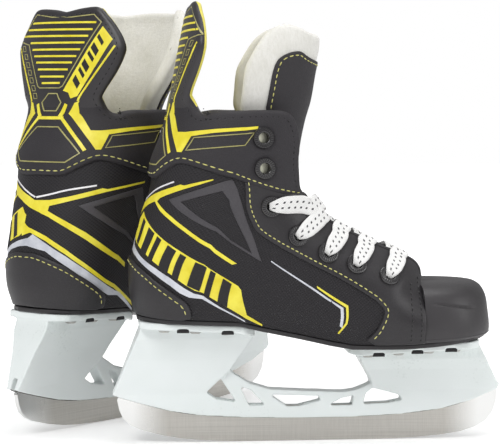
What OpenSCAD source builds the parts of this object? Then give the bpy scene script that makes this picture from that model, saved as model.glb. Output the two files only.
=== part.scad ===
// A pair of youth ice hockey skates.
// One skate is written once, in its own frame: +X to the toe, -Y to the
// outer side of the foot, +Z up, origin in the middle of the runner's flat
// bottom. The right skate stands at the origin. The left one is its mirror
// image, turned and moved to stand beside and behind it.

/* [Pair] */
// How far the left skate is turned outwards from the right one, in degrees
left_turn = 44; // [30:1:60]
// Position of the left skate's origin along X
left_x = -82; // [-100:1:-70]
// Position of the left skate's origin along Y
left_y = 89; // [84:1:120]

/* [Runner] */
// Thickness of the steel runner
steel_t = 3; // [2.6:0.1:3.1]
// How deep the runner's top edge sits inside the holder's groove
tang = 6; // [4:0.5:8]

/* [Holder] */
// Thickness of the bridge between the two towers
bridge_t = 9; // [7:0.5:10]
// Half-width of the flanges that carry the boot
flange_w = 23; // [20:0.5:25]
// Half-width of a tower where it meets its flange
tower_w = 14; // [11:0.5:14]

/* [Boot] */
// Thickness of the outer shell of the boot
shell_t = 1.8; // [1.2:0.1:2]
// Thickness of the overlays sewn on the shell
over_t = 1.0; // [0.6:0.1:1.2]
// Distance from the outer surface to the inner lining's foot side
wall_t = 6.6; // [6.5:0.1:7.5]

/* [Lacing] */
// Inner radius of an eyelet's bore
eyelet_r = 2.3; // [2:0.1:2.5]
// Outer radius of an eyelet's flange
eyelet_flange_r = 5.6; // [5:0.1:5.8]
// Width of the flat lace
lace_w = 8.5; // [6:0.5:9]

/* [Hidden] */

black = [0.16, 0.15, 0.16];
soft_black = [0.22, 0.21, 0.22];
yellow = [0.90, 0.85, 0.20];
cream = [0.93, 0.91, 0.85];
white = [0.88, 0.90, 0.90];
steel = [0.66, 0.65, 0.63];
board_brown = [0.45, 0.36, 0.26];
foam_grey = [0.55, 0.55, 0.57];
lace_white = [0.93, 0.93, 0.91];

// the two sides of the boot, as signs of Y
OUTER = -1;
INNER = 1;

// ---------- lists and curves ----------

function unit(v) = v / norm(v);
function rev(list) = [for (i = [len(list) - 1:-1:0]) list[i]];
// closed outline from one half and its reflection in the X axis
function with_mirror(half) = concat(half, [for (p = rev(half)) [p[0], -p[1]]]);

// index of the table row that starts the span holding x
function span(table, x, i = 0) =
  (i >= len(table) - 2 || x < table[i + 1][0]) ? i : span(table, x, i + 1);
function slope(table, i) = let (
    a = table[max(i - 1, 0)],
    b = table[min(i + 1, len(table) - 1)])
  (b[1] - a[1]) / (b[0] - a[0]);
// smooth curve through a table of [x, value], held flat past its ends
function curve(table, x) =
  x <= table[0][0] ? table[0][1]
  : x >= table[len(table) - 1][0] ? table[len(table) - 1][1]
  : let (
      i = span(table, x),
      a = table[i],
      b = table[i + 1],
      step = b[0] - a[0],
      t = (x - a[0]) / step)
    a[1] * (1 + 2 * t) * (1 - t) * (1 - t)
    + step * slope(table, i) * t * (1 - t) * (1 - t)
    + b[1] * t * t * (3 - 2 * t)
    - step * slope(table, i + 1) * t * t * (1 - t);

// running length of a polyline up to point i
function run(line, i) = i == 0 ? 0 : norm(line[i] - line[i - 1]) + run(line, i - 1);
// point at a share of a polyline's length
function line_at(line, share) = let (
    last = len(line) - 1,
    runs = [for (i = [0:last]) run(line, i)],
    d = share * runs[last])
  [for (axis = [0, 1]) lookup(d, [for (i = [0:last]) [runs[i], line[i][axis]]])];

// ---------- shared modules ----------

// flat shape in the side view, given its thickness across the skate
module profile(thick) rotate([90, 0, 0]) translate([0, 0, -thick / 2])
  linear_extrude(height = thick) children();

module both_sides() for (g = [0, 1]) mirror([0, g, 0]) children();

// closed skin between an outer and an inner grid of the same size
module skin(outer, inner) {
  n = len(outer) - 1;
  m = len(outer[0]) - 1;
  k = (n + 1) * (m + 1);
  function id(i, j) = i * (m + 1) + j;
  polyhedron(
    points = concat([for (c = outer) each c], [for (c = inner) each c]),
    faces = concat(
      // outer and inner faces
      [for (i = [0:n - 1]) for (j = [0:m - 1]) each
        [[id(i, j), id(i, j + 1), id(i + 1, j + 1)],
         [id(i, j), id(i + 1, j + 1), id(i + 1, j)],
         [k + id(i, j), k + id(i + 1, j + 1), k + id(i, j + 1)],
         [k + id(i, j), k + id(i + 1, j), k + id(i + 1, j + 1)]]],
      // rims along the first and last rows
      [for (i = [0:n - 1]) each
        [[id(i, 0), id(i + 1, 0), k + id(i + 1, 0)],
         [id(i, 0), k + id(i + 1, 0), k + id(i, 0)],
         [id(i, m), k + id(i + 1, m), id(i + 1, m)],
         [id(i, m), k + id(i, m), k + id(i + 1, m)]]],
      // rims along the first and last columns
      [for (j = [0:m - 1]) each
        [[id(0, j), k + id(0, j + 1), id(0, j + 1)],
         [id(0, j), k + id(0, j), k + id(0, j + 1)],
         [id(n, j), id(n, j + 1), k + id(n, j + 1)],
         [id(n, j), k + id(n, j + 1), k + id(n, j)]]]));
}

// ---------- sole ----------

// underside of the sole, made of straight stretches: x, z
SOLE = [[-90, 66.2], [-37, 63.8], [-27, 61.2], [-6, 57], [9, 53.8],
        [20, 52], [46, 52.2], [67, 53.3], [94, 55]];
SOLE_LONG = concat([[-110, 67.1]], SOLE, [[110, 56]]);
// x, half-width of the sole
SOLE_HALF = [[-90, 9], [-86, 17], [-80, 22], [-70, 25.5], [-50, 26],
             [-25, 25], [0, 27.5], [25, 32], [50, 34.5], [65, 32.5],
             [78, 26], [86, 19], [91, 12], [94, 6]];
sole_t = 2.6;
// top of the midsole board above the sole's underside
board_top = sole_t + 1.7;
RIVETS = [for (x = [-76, -60, -44, 30, 46, 62, 76]) each [[x, 17.2], [x, -17.2]]];

function sole_z(x) = lookup(x, SOLE);

// outline of the sole drawn in from its edge, between two x positions
function outline(inset, back, front) = with_mirror([for (i = [0:22]) let (
    x = back + (front - back) * (0.5 - 0.5 * cos(180 * i / 22)))
  [x, curve(SOLE_HALF, x) - inset]]);
// slab of that outline between two heights above the sole's underside
module slab(inset, back, front, low, high) intersection() {
  translate([0, 0, 40]) linear_extrude(height = 50) polygon(outline(inset, back, front));
  profile(90) polygon(concat([for (p = SOLE_LONG) p + [0, low]],
    [for (p = rev(SOLE_LONG)) p + [0, high]]));
}
module rivet_holes(r, low, high)
  for (p = RIVETS)
    translate([p[0], p[1], low]) cylinder(r = r, h = high - low, $fn = 24);

module outsole() color(black) difference() {
  slab(0, -90, 94, 0.05, sole_t);
  rivet_holes(2, 40, 80);
}
module midsole_board() color(board_brown) difference() {
  slab(4.9, -83, 86, sole_t + 0.1, board_top);
  rivet_holes(2, 40, 80);
}
module footbed() color(soft_black) slab(9.2, -80, 76, sole_t + 3.3, sole_t + 6);

// ---------- boot surface ----------
// A point of the surface is given by its developed coordinate s and by z.
// On the flat side s is x; round the heel s runs on along the surface.

// centre line of the heel and back of the collar: z, x
BACK = [[64, -89.5], [70, -89.8], [80, -92], [90, -92.6], [99, -92.4],
        [109, -90], [120, -87.4], [133, -83], [148, -80.8], [159, -76.6],
        [171, -72.8], [180, -71.6]];
// z, length along x of the rounded part behind the flat side
ROUND = [[66, 32], [90, 35], [120, 39], [150, 40], [176, 37]];
// developed length of the rounded part, and the exponent of its roundness
round_dev = 46;
round_exp = 2.25;

// height above the sole, and a table of [x, half-width of the side] there
SIDE = [
  [0, [[-75, 27], [-45, 27], [-20, 26], [5, 28.5], [30, 33.5], [50, 35.5], [60, 35]]],
  [12, [[-75, 31.5], [-45, 32], [-20, 32.5], [5, 35], [30, 38.5], [50, 39.5], [60, 38.5]]],
  [40, [[-75, 34], [-45, 35.5], [-20, 37], [5, 38], [30, 39], [50, 38.5], [60, 37]]],
  [80, [[-75, 38.5], [-45, 40.5], [-15, 39], [10, 38], [60, 37]]],
  [108, [[-75, 38], [-45, 39.5], [-8, 37.5], [60, 37]]]];
// edge of the opening, from the collar's front corner down to the toe:
// side-view x, z and the half-width there
EDGE = [[-10.3, 170, 37], [-8, 160, 36.4], [-8, 150, 36], [-7.4, 141, 34],
        [-5.2, 134, 30], [-1.5, 129.6, 25.5], [8, 119.5, 20], [20, 112.6, 17],
        [34, 106, 15], [46, 101, 13.8], [54, 97, 13], [57.4, 93, 12.5],
        [58.4, 88, 12.5]];
// distance from the opening's edge within which the side curves inwards
roll = 26;

function round_len(z) = curve(ROUND, z);
// x where the rounded part meets the flat side
function flat_x(z) = curve(BACK, z) + round_len(z);
// developed coordinate of the back centre line
function back_s(z) = flat_x(z) - round_dev;
// developed point of a side-view x and z
function dev(x, z) = x >= flat_x(z) ? [x, z]
  : let (share = min(1, (flat_x(z) - x) / round_len(z)))
    [flat_x(z) - round_dev * (1 - acos(pow(share, round_exp / 2)) / 90), z];

function side_half(x, z) =
  curve([for (row = SIDE) [row[0], curve(row[1], x)]], z - sole_z(x) - sole_t);
// distance from x, z to the edge's stretch a to b, and the half-width there
function stretch_dist(x, z, a, b) = let (
    dx = b[0] - a[0],
    dz = b[1] - a[1],
    t = max(0, min(1, ((x - a[0]) * dx + (z - a[1]) * dz) / (dx * dx + dz * dz))))
  [norm([x - a[0] - t * dx, z - a[1] - t * dz]), a[2] + t * (b[2] - a[2])];
function nearest(list, i = 0, found = 0) = i == len(list) ? list[found]
  : nearest(list, i + 1, list[i][0] < list[found][0] ? i : found);
function edge_dist(x, z) =
  nearest([for (i = [0:len(EDGE) - 2]) stretch_dist(x, z, EDGE[i], EDGE[i + 1])]);
function half_width(x, z) = let (
    wide = side_half(x, z),
    edge = edge_dist(x, z),
    q = 1 - min(1, edge[0] / roll))
  wide - (wide - edge[1]) * q * q;

// point on the outer surface of the outer side of the boot
function surf(s, z) = s >= flat_x(z) ? [s, -half_width(s, z), z]
  : let (a = 90 * max(0, 1 - (flat_x(z) - s) / round_dev))
    [flat_x(z) - round_len(z) * pow(cos(a), 2 / round_exp),
     -half_width(flat_x(z), z) * pow(sin(a), 2 / round_exp), z];
// its outward normal; fixed at the back centre line
function surf_normal(s, z) = s <= back_s(z) + 0.5 ? unit([-1, 0, -0.1])
  : unit(cross(surf(s + 0.4, z) - surf(s - 0.4, z), surf(s, z + 0.4) - surf(s, z - 0.4)));
// the same point moved outwards, on either side of the boot
function surf_off(s, z, off, side) = let (p = surf(s, z) + off * surf_normal(s, z))
  side == OUTER ? p : [p[0], -p[1], p[2]];

// grid of n by m cells of surface points between a lower and an upper line
// (pack above 1 crowds the columns towards the start of the lines)
function band(low, high, n, m, off, side = OUTER, pack = 1) =
  [for (i = [0:n]) let (
      share = pow(i / n, pack),
      a = line_at(low, share),
      b = line_at(high, share))
    [for (j = [0:m]) let (p = a + (b - a) * j / m) surf_off(p[0], p[1], off, side)]];
// the same round the heel: both lines start at the back centre
function wrap(low, high, n, m, off, pack = 1) = let (
    outer = band(low, high, n, m, off, OUTER, pack),
    inner = band(low, high, n, m, off, INNER, pack))
  concat(rev(inner), [for (i = [1:n]) outer[i]]);

// stands its children on the boot's surface, Z along the normal
module on_boot(p) {
  n = surf_normal(p[0], p[1]);
  translate(surf(p[0], p[1])) rotate([0, acos(n[2]), atan2(n[1], n[0])]) children();
}

// ---------- lines of the boot ----------

// point of the back centre line
function back_point(z) = [back_s(z), z];
// side-view points, developed and shifted in height
function trace(points, dz = 0) = [for (p = points) dev(p[0], p[1] + dz)];
// line at a height above the top of the sole
function foot_line(stations, up) = [for (x = stations) dev(x, sole_z(x) + sole_t + up)];
// x stations along the foot of the upper
FOOT_X = [-80, -70, -56, -40, -27, -16, -6, 6, 20, 34, 46];

// seam below the collar: x, z
SEAM = [[-79, 143.6], [-74, 147], [-66, 149.6], [-58, 147.6], [-46, 144.2],
        [-38, 141.6], [-22, 136.6], [-8, 133]];
// height of the seam at the back, and half the gap between its two pieces
seam_back = 143.4;
seam_gap = 0.4;
// throat, from the collar down to the toe: x, z
THROAT = [[-3, 130.6], [8, 119.5], [20, 112.6], [34, 106], [46, 101],
          [54, 97], [56.3, 93], [56.6, 89.4]];
// top edge of the collar, from behind to its front corner: x, z
COLLAR_TOP = [[-73, 172.6], [-62, 172.8], [-48, 173.6], [-33, 174.5],
              [-20, 174.3], [-14, 172.8], [-10.6, 169.6]];

// eyelets from the top down: x, z
COLLAR_EYELETS = [[-25.1, 159.8], [-24.6, 144.9]];
THROAT_EYELETS = [[-20.7, 126.8], [-7.7, 112.6], [7.3, 103.6], [22, 97.4], [38.8, 91]];

// a cutter made of hulls, so that it meshes with the thin shell it cuts
module cutter(r, low, high) {
  hull() {
    translate([0, 0, low]) cylinder(r = r, h = 0.1, $fn = 12);
    translate([0, 0, high]) cylinder(r = r, h = 0.1, $fn = 12);
  }
  hull() cube(r / 4, center = true);
}
module eyelet_cuts(points, r = 3.3)
  for (p = points) on_boot(p) cutter(r, -9, 4);

// ---------- toe ----------

// share of the way up, z, forward reach, half-width
CAP = [[0, 58, 39.8, 35.2], [0.12, 59.6, 41.6, 37], [0.26, 63, 41.4, 38],
       [0.42, 70, 39.4, 37.4], [0.57, 76.5, 37, 34.6], [0.7, 81.4, 34.6, 30],
       [0.81, 84.4, 31.4, 23.5], [0.91, 86, 25, 15], [1, 86.6, 12, 5]];
// x of the cap's back edge, and the exponent of its roundness in plan
cap_x = 57;
cap_exp = 2.3;

function cap_value(share, column) = curve([for (row = CAP) [row[0], row[column]]], share);
// point at a share of the height and angle a from +X, moved off outwards
function cap_point(share, a, off) = let (
    reach = cap_value(share, 2),
    half = cap_value(share, 3),
    flat = unit([cos(a) * half, sin(a) * reach, 0]),
    normal = unit([flat[0], flat[1], 1.2 * pow(share, 2.2)]))
  [cap_x + reach * pow(abs(cos(a)), 2 / cap_exp),
   sign(sin(a)) * half * pow(abs(sin(a)), 2 / cap_exp),
   cap_value(share, 1)] + off * normal;
// each column closes the top at a thin spine along the centre line
function cap_grid(off, n = 14, m = 7) = [for (i = [0:n]) let (a = -90 + 180 * i / n)
  concat([for (j = [0:m]) cap_point(j / m, a, off)],
         [[cap_x + (1 - abs(sin(a))) * 8, 0.4 * sin(a), 86.9 + off]])];

module toe_cap() color(black) skin(cap_grid(0), cap_grid(-2));
module toe_box_lining() color(cream) skin(cap_grid(-2.4), cap_grid(-3.4));

// ---------- upper ----------

// the two quarters stop this short of the back centre line
back_gap = 0.6;
// height of the quarter's lower edge above the sole, and its z at the back
quarter_up = 0.3;
quarter_back = 69.8;

module quarter() {
  // behind the first station the lower edge keeps the height of the sole's end
  low = concat(
    [back_point(quarter_back) + [back_gap, 0],
     dev(-86, SOLE[0][1] + sole_t + quarter_up)],
    foot_line(concat(FOOT_X, [55.8]), quarter_up));
  high = concat(
    [back_point(seam_back - seam_gap) + [back_gap, 0]],
    trace(SEAM, -seam_gap),
    [for (p = THROAT) p - 0.7 * seam_gap * [1, 1]]);
  difference() {
    skin(band(low, high, 18, 6, 0, pack = 1.4),
         band(low, high, 18, 6, -shell_t, pack = 1.4));
    eyelet_cuts(THROAT_EYELETS);
  }
}
module lateral_quarter() color(black) quarter();
module medial_quarter() color(black) mirror([0, 1, 0]) quarter();

// stiff counter sewn round the heel; its upper edge: x, z
COUNTER = [[-91, 96.5], [-84, 89], [-76, 82.6], [-69, 77.4], [-65.6, 73],
           [-65, 71.4]];
// height of the counter's inner face above the surface
counter_lift = 0.8;
module heel_counter() color(black) {
  high = concat([back_point(102)], trace(COUNTER));
  low = concat([back_point(70.2)], foot_line([-88, -84, -79, -74, -69, -65], 0.8));
  skin(wrap(low, high, 7, 3, counter_lift + over_t), wrap(low, high, 7, 3, counter_lift));
}

// front edge of the collar, downwards: x, z
COLLAR_FRONT = [[-8.4, 160], [-8.4, 150], [-7.6, 141]];
// height of the collar's outer face above the surface
collar_lift = 0.6;
module ankle_collar() color(black) {
  low = concat([[back_s(seam_back), seam_back + seam_gap]],
    trace(SEAM, seam_gap), [[-5.8, 133]]);
  high = concat([back_point(172.6)], trace(COLLAR_TOP), COLLAR_FRONT);
  difference() {
    skin(wrap(low, high, 11, 4, collar_lift, 1.3), wrap(low, high, 11, 4, -shell_t, 1.3));
    both_sides() eyelet_cuts(COLLAR_EYELETS);
  }
}

// lower edge of the eyestay, from the collar to the sole: x, z
STAY_LOW = [[-34.6, 138], [-33.6, 128.5], [-30, 118.3], [-26.6, 114], [-18, 108.4],
            [-7.7, 102.5], [12.7, 91.6], [28, 82.4], [33.2, 78.4], [36.6, 74],
            [36, 68.6], [33.2, 62.6], [28.3, 57.6]];
// its upper edge, before and after the stretch along the throat: x, z
STAY_START = [[-24, 135.6], [-14, 132.6], [-5, 130.6]];
STAY_END = [[55.7, 80], [55.5, 68], [55.3, 58.4]];
// height of the eyestay's inner face above the surface
stay_lift = 1.45;
module eyestay() {
  high = concat(STAY_START, [for (p = THROAT) p - [0.3, 0.3]], STAY_END);
  difference() {
    skin(band(STAY_LOW, high, 16, 3, stay_lift + over_t * 0.9),
         band(STAY_LOW, high, 16, 3, stay_lift));
    eyelet_cuts(THROAT_EYELETS);
  }
}
module lateral_eyestay() color(black) eyestay();
module medial_eyestay() color(black) mirror([0, 1, 0]) eyestay();

// front edge of the liner, downwards: x, z
LINER_FRONT = [[-9.6, 160], [-9.6, 150], [-9, 141], [-8.4, 131]];
liner_t = 1.2;
module liner() color(cream) {
  low = concat([back_point(74)], foot_line(concat([-86], FOOT_X), 3.2));
  high = concat([back_point(171)], trace(COLLAR_TOP, -1.5), LINER_FRONT,
    [for (i = [1:4]) THROAT[i] - [3.5, 5]]);
  difference() {
    skin(wrap(low, high, 13, 5, liner_t - wall_t, 1.3),
         wrap(low, high, 13, 5, -wall_t, 1.3));
    both_sides() eyelet_cuts(concat(COLLAR_EYELETS, THROAT_EYELETS), 3.5);
  }
}

// foam pads over the ankle bones, between the shell and the liner
module ankle_pads() color(foam_grey) {
  low = [for (x = [-72, -62, -50, -40, -32]) dev(x, 98 + 0.012 * pow(x + 52, 2))];
  high = [for (x = [-66, -58, -50, -42, -35]) dev(x, 168 - 0.02 * pow(x + 50, 2))];
  both_sides()
    skin(band(low, high, 5, 5, -shell_t - 0.8),
         band(low, high, 5, 5, -wall_t + liner_t + 1));
}

// ---------- tendon guard ----------

// centre line: z, x
GUARD_BACK = [[173, -72.6], [182, -70.9], [195, -68.6], [208, -66.2], [228.6, -62]];
// front edge: z, x
GUARD_EDGE = [[173, -59.5], [178, -63.5], [182, -64.8], [187, -63.6], [195, -60.8],
              [203, -58.6], [210, -58], [218, -58.4], [226, -60], [228.6, -61]];
// z, half-width
GUARD_HALF = [[173, 33.5], [178, 31], [182, 30.6], [187, 33], [195, 37.6], [203, 41],
              [208, 41.4], [214, 38.4], [220, 34], [225, 30.4], [228.6, 26]];
// heights of the lining's rows; the guard has one more
LINING_Z = [174.6, 178, 182, 187, 192, 197, 203, 208, 213, 218, 223];
GUARD_Z = concat(LINING_Z, [228.6]);

// point at height z and share v (-1 to 1) of the half-width, off forwards
function guard_point(z, v, off, scale_w) = let (
    back = curve(GUARD_BACK, z),
    edge = curve(GUARD_EDGE, z),
    top_drop = z > 227 ? 1.6 * pow(abs(v), 3) : 0,
    low_rise = z < 176 ? 1.8 * v * v : 0)
  [back + (edge - back) * pow(abs(v), 2.3) + off * (1 - 0.5 * v * v),
   curve(GUARD_HALF, z) * scale_w * v, z - top_drop + low_rise];
function guard_grid(off, heights, scale_w = 1) =
  [for (i = [0:12]) [for (z = heights) guard_point(z, i / 6 - 1, off, scale_w)]];

module tendon_guard() color(black)
  skin(guard_grid(1.6, GUARD_Z), guard_grid(-0.8, GUARD_Z));
module guard_lining() color(yellow)
  skin(guard_grid(4.4, LINING_Z, 0.95), guard_grid(2.1, LINING_Z, 0.95));

// ---------- tongue ----------

// path of the tongue's outer face over the instep: x, z
TONGUE_PATH = [[56.5, 90.2], [53.5, 97], [46, 102.8], [34, 108.2], [20, 115],
               [10, 121.6], [2.4, 128.2], [-1.4, 131.6]];
tongue_half = 10.8;
// grid along the path, from the collar to the toe, moved off inwards
function tongue_base_grid(off) = [for (p = rev(TONGUE_PATH))
  [for (j = [0:6]) let (v = j / 3 - 1)
    [p[0] - 0.45 * off - 1.2 * v * v, tongue_half * v * (p[0] > 54 ? 0.9 : 1),
     p[1] - 0.89 * off - 2.2 * v * v]]];
module tongue_base() color(black) skin(tongue_base_grid(0), tongue_base_grid(4.5));

// upper tongue, front line: z, x
FLAP_FRONT = [[132.8, -3.4], [141, -4.4], [152, -4.6], [169, -1.6], [180, 1.4],
              [195, 4], [208, 7], [214.6, 7.4]];
// z, depth of the wings behind the front line
FLAP_DEPTH = [[132.8, 13], [141, 18], [152, 27], [169, 34], [176, 38], [186, 38.5],
              [197, 38], [206, 36.5], [213.6, 30], [214.6, 26]];
// z, half-width
FLAP_HALF = [[132.8, 16], [141, 21.5], [152, 24.5], [169, 27], [180, 30.5],
             [195, 33], [206, 32], [214.6, 27]];
// heights of the rows of the flap and of its facing
FLAP_Z = [135, 140, 148, 158, 169, 178, 188, 198, 206, 212, 214.6];
FACING_Z = [138, 144, 152, 162, 173, 184, 194, 200, 204];

// point at height z and angle a round from the front, moved off inwards
function flap_point(z, a, off) = [
  curve(FLAP_FRONT, z) - off - (curve(FLAP_DEPTH, z) - off) * (1 - cos(a)),
  (curve(FLAP_HALF, z) - off) * sin(a),
  z + (z > 205 ? (z - 205) * 0.55 * pow(sin(a), 2) : 0)];
// spread is the share of the full turn that the grid covers
function flap_grid(off, heights, spread = 1) = [for (i = [0:12])
  [for (z = heights) flap_point(z, (-84 + 14 * i) * spread, off)]];

module tongue_flap() color(cream) skin(flap_grid(1.6, FLAP_Z), flap_grid(7.5, FLAP_Z));
module tongue_facing() color(black)
  skin(flap_grid(0, FACING_Z, 0.8), flap_grid(1, FACING_Z, 0.8));

// ---------- lacing ----------

// barrel's outer radius, and heights of the flange's underside and top
barrel_r = 3.05;
flange_low = 2.75;
flange_top = 3.65;
module eyelet() rotate_extrude($fn = 48)
  polygon([[eyelet_r, -7], [barrel_r, -7], [barrel_r, flange_low],
           [eyelet_flange_r, flange_low], [eyelet_flange_r - 0.1, 3.35],
           [eyelet_flange_r - 0.7, flange_top], [3.6, flange_top], [2.7, 3.15],
           [eyelet_r, 2.55]]);
module eyelets() color(soft_black) both_sides() {
  for (p = COLLAR_EYELETS) on_boot(p) translate([0, 0, -1.1]) eyelet();
  for (p = THROAT_EYELETS) on_boot(p) eyelet();
}

lace_t = 1.3;
// direction across the lace
LACE_ACROSS = unit([0.9, 0, -0.45]);
// where each run of lace leaves the eyestay, at the throat's edge: x, z
EXIT = [[-0.4, 129.4], [4.6, 123], [17, 114.4], [30, 107.8], [44, 101.8]];
// height of the lace above the boot's surface, and at the throat's edge
lace_lift = 5.55;
lace_edge_lift = 5.45;

// height of the tongue's face along its centre line
TONGUE_TOP = rev(TONGUE_PATH);
function tongue_z(x) = lookup(x, TONGUE_TOP);

// flat strip of lace through a list of points
function strip_grid(points, dz) = [for (p = points)
  [for (j = [-1:2:1]) p + LACE_ACROSS * lace_w * j / 2 + [0, 0, dz]]];
module strip(points) skin(strip_grid(points, -lace_t / 2), strip_grid(points, lace_t / 2));

// one run of lace: out of throat eyelet i, over the edge and across the
// tongue; the top run goes straight, the others end nearer the collar
function lace_run(i, lift) = let (
    start = THROAT_EYELETS[i],
    exit = EXIT[i],
    mid = (start + exit) / 2,
    top = i == 0,
    centre = exit[0] + (top ? 4.6 : -1),
    end = top ? centre : exit[0] - 6,
    up = top ? 1.6 : 0)
  [surf_off(start[0], start[1], lace_lift, OUTER),
   surf_off(mid[0], mid[1], lace_lift, OUTER),
   surf_off(exit[0] - 1, exit[1] - 1, lace_edge_lift, OUTER),
   [centre + 2, -8, tongue_z(centre + 2) + 4.1 + up],
   [centre, 0, tongue_z(centre) + 2.2 + lift + up],
   [end, 7.5, tongue_z(end) + 2.1 + up]];
// below the top run, each run from the inner side crosses above the other
module lace() color(lace_white)
  for (i = [0:4]) {
    strip(lace_run(i, 0));
    if (i > 0) mirror([0, 1, 0]) strip(lace_run(i, 1.9));
  }

// ---------- holder ----------

// lower edge of the holder: x, z
HOLDER_LOW = [[-102.9, 25.9], [-98.7, 24.3], [-88.3, 21.2], [-72.6, 17],
              [-56.8, 14.5], [-30.4, 12.9], [-3.9, 12.4], [22.7, 12.5],
              [49.5, 13.6], [71.1, 16.1], [87.2, 20.4], [101.8, 26.6],
              [102.8, 29.3]];
// the bridge closed along its upper edge: x, z
BRIDGE = concat(HOLDER_LOW, [[100, 33], [38, 37], [35.7, 31.2], [30.3, 28.7],
  [24.9, 26.7], [18.5, 25.9], [-3, 26.9], [-20.2, 27.9], [-23.4, 29],
  [-30.8, 31.2], [-39.4, 36.6], [-42, 40], [-60, 44], [-96, 41]]);
// truss openings of the bridge: x, z
OPENINGS = [
  [[-53.7, 26.5], [-46.1, 34], [-37.8, 21.2], [-48.4, 23]],
  [[-35.8, 29.6], [-30, 27.3], [-22.4, 19.3], [-31, 19.4]],
  [[-20.3, 25], [5.8, 23.9], [7.2, 21.4], [-4.4, 18.6], [-11.1, 18.6]],
  [[24.7, 24], [23.9, 18.7], [10.6, 18.6], [17.7, 22.4]],
  [[34.8, 27.9], [48.8, 23.9], [50.6, 21], [43, 19.6], [29.6, 19.1], [31.1, 25.1]]];
// lower and upper edges of the flanges: x, z
HEEL_FLANGE_LOW = [[-89, 62.5], [-38, 60], [-29, 57.4]];
HEEL_FLANGE_TOP = [[-28.6, 61.5], [-37, 63.75], [-89, 66.1]];
TOE_FLANGE_LOW = [[19.6, 48.2], [24, 47.4], [46, 48.6], [67, 49.6], [89.4, 50.6]];
TOE_FLANGE_TOP = [[89.4, 54.6], [67, 53.25], [46, 52.15], [20, 51.95]];
// side profiles of the towers: x, z
HEEL_TOWER = [[-102.6, 26.2], [-60, 20], [-52, 26], [-41.3, 38.9], [-29.6, 57],
              [-30, 60.4], [-37, 61.5], [-87.8, 64], [-88.8, 60]];
TOE_TOWER = [[37, 20], [90, 22], [102.6, 28.5], [92, 47.6], [90, 51.5], [67, 51.6],
             [46, 50.6], [27, 50], [26.4, 45], [33, 33]];
// centres of the notches in the flanges' lower edges: x, z
NOTCHES = [[-66.6, 61.6], [-43.6, 60.5], [34.9, 48.1], [55.2, 49.3], [73, 50.1]];
// bolts of the runner: x, z of the head's seat in the holder, length of the
// shank, z of the nut's pocket in the holder, z of the notch in the runner
BOLTS = [[-74, 44, 19, 26.5, 21],
         [64, 36, 13, 25.2, 18.6]];
NUT_POCKET = [10, 7.2, 6];
RUNNER_NOTCH = [10.8, 10, 20];

// arc of radius r in the corner b between its neighbours a and c
function corner_arc(a, b, c, r, steps = 4) = let (
    to_a = unit(a - b),
    to_c = unit(c - b),
    angle = acos(to_a * to_c),
    centre = b + unit(to_a + to_c) * r / sin(angle / 2),
    from = b + to_a * r / tan(angle / 2) - centre,
    to = b + to_c * r / tan(angle / 2) - centre,
    turn = 180 - angle)
  [for (i = [0:steps])
    centre + (from * sin(turn * (1 - i / steps)) + to * sin(turn * i / steps)) / sin(turn)];
// polygon with each corner rounded to radius r
function rounded(points, r) = let (n = len(points)) [for (i = [0:n - 1]) each
  corner_arc(points[(i + n - 1) % n], points[i], points[(i + 1) % n], r)];

// line at a height above the holder's lower edge, from the toe to the heel
function tang_line(up) = [for (i = [len(HOLDER_LOW) - 2:-1:1])
  [HOLDER_LOW[i][0] * 0.975, HOLDER_LOW[i][1] + up]];

module flange(edges, back, front) intersection() {
  profile(2 * flange_w + 2) polygon(edges);
  translate([0, 0, 40]) linear_extrude(height = 40) polygon(rounded(with_mirror(
    [[back, -flange_w + 6], [back + 6, -flange_w],
     [front - 6, -flange_w], [front, -flange_w + 6]]), 5));
}
// tower: its side profile, as wide as the bridge below and flared above
module tower(points, low, high) {
  half = [[bridge_t / 2, 10], [bridge_t / 2, low],
          [tower_w * 0.62, low + (high - low) * 0.55],
          [tower_w - 1.5, high - 4], [tower_w - 0.9, high + 8]];
  intersection() {
    profile(60) polygon(points);
    rotate([90, 0, 90]) translate([0, 0, -120]) linear_extrude(height = 240)
      polygon(concat(half, [for (p = rev(half)) [-p[0], p[1]]]));
  }
}
// room for a bolt and its nut
module bolt_room(bolt) {
  translate([bolt[0], 0, 20]) cylinder(r = 2.3, h = 60, $fn = 24);
  translate([bolt[0], 0, bolt[1]]) cylinder(r = 4.4, h = 40, $fn = 24);
  translate([bolt[0] - NUT_POCKET[0] / 2, -NUT_POCKET[1] / 2, bolt[3]]) cube(NUT_POCKET);
}
module holder() color(white) difference() {
  union() {
    flange(concat(HEEL_FLANGE_LOW, HEEL_FLANGE_TOP), -89, -28.8);
    flange(concat(TOE_FLANGE_LOW, TOE_FLANGE_TOP), 19.8, 89.2);
    tower(HEEL_TOWER, 26, 60);
    tower(TOE_TOWER, 26, 48);
    profile(bridge_t) polygon(BRIDGE);
  }
  for (points = OPENINGS) profile(30) polygon(rounded(points, 0.55));
  // groove that holds the steel
  profile(steel_t + 0.3) polygon(concat([for (p = HOLDER_LOW) p - [0, 9]],
    [[102.8, 29.6 + tang]], tang_line(tang + 0.3), [[-102.9, 26.2 + tang]]));
  for (bolt = BOLTS) bolt_room(bolt);
  rivet_holes(2.05, 30, 80);
  for (g = [-1, 1])
    for (p = NOTCHES)
      translate([p[0], g * flange_w, p[1]]) cube([6, 3, 2.2], center = true);
}

// ---------- runner and fasteners ----------

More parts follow.
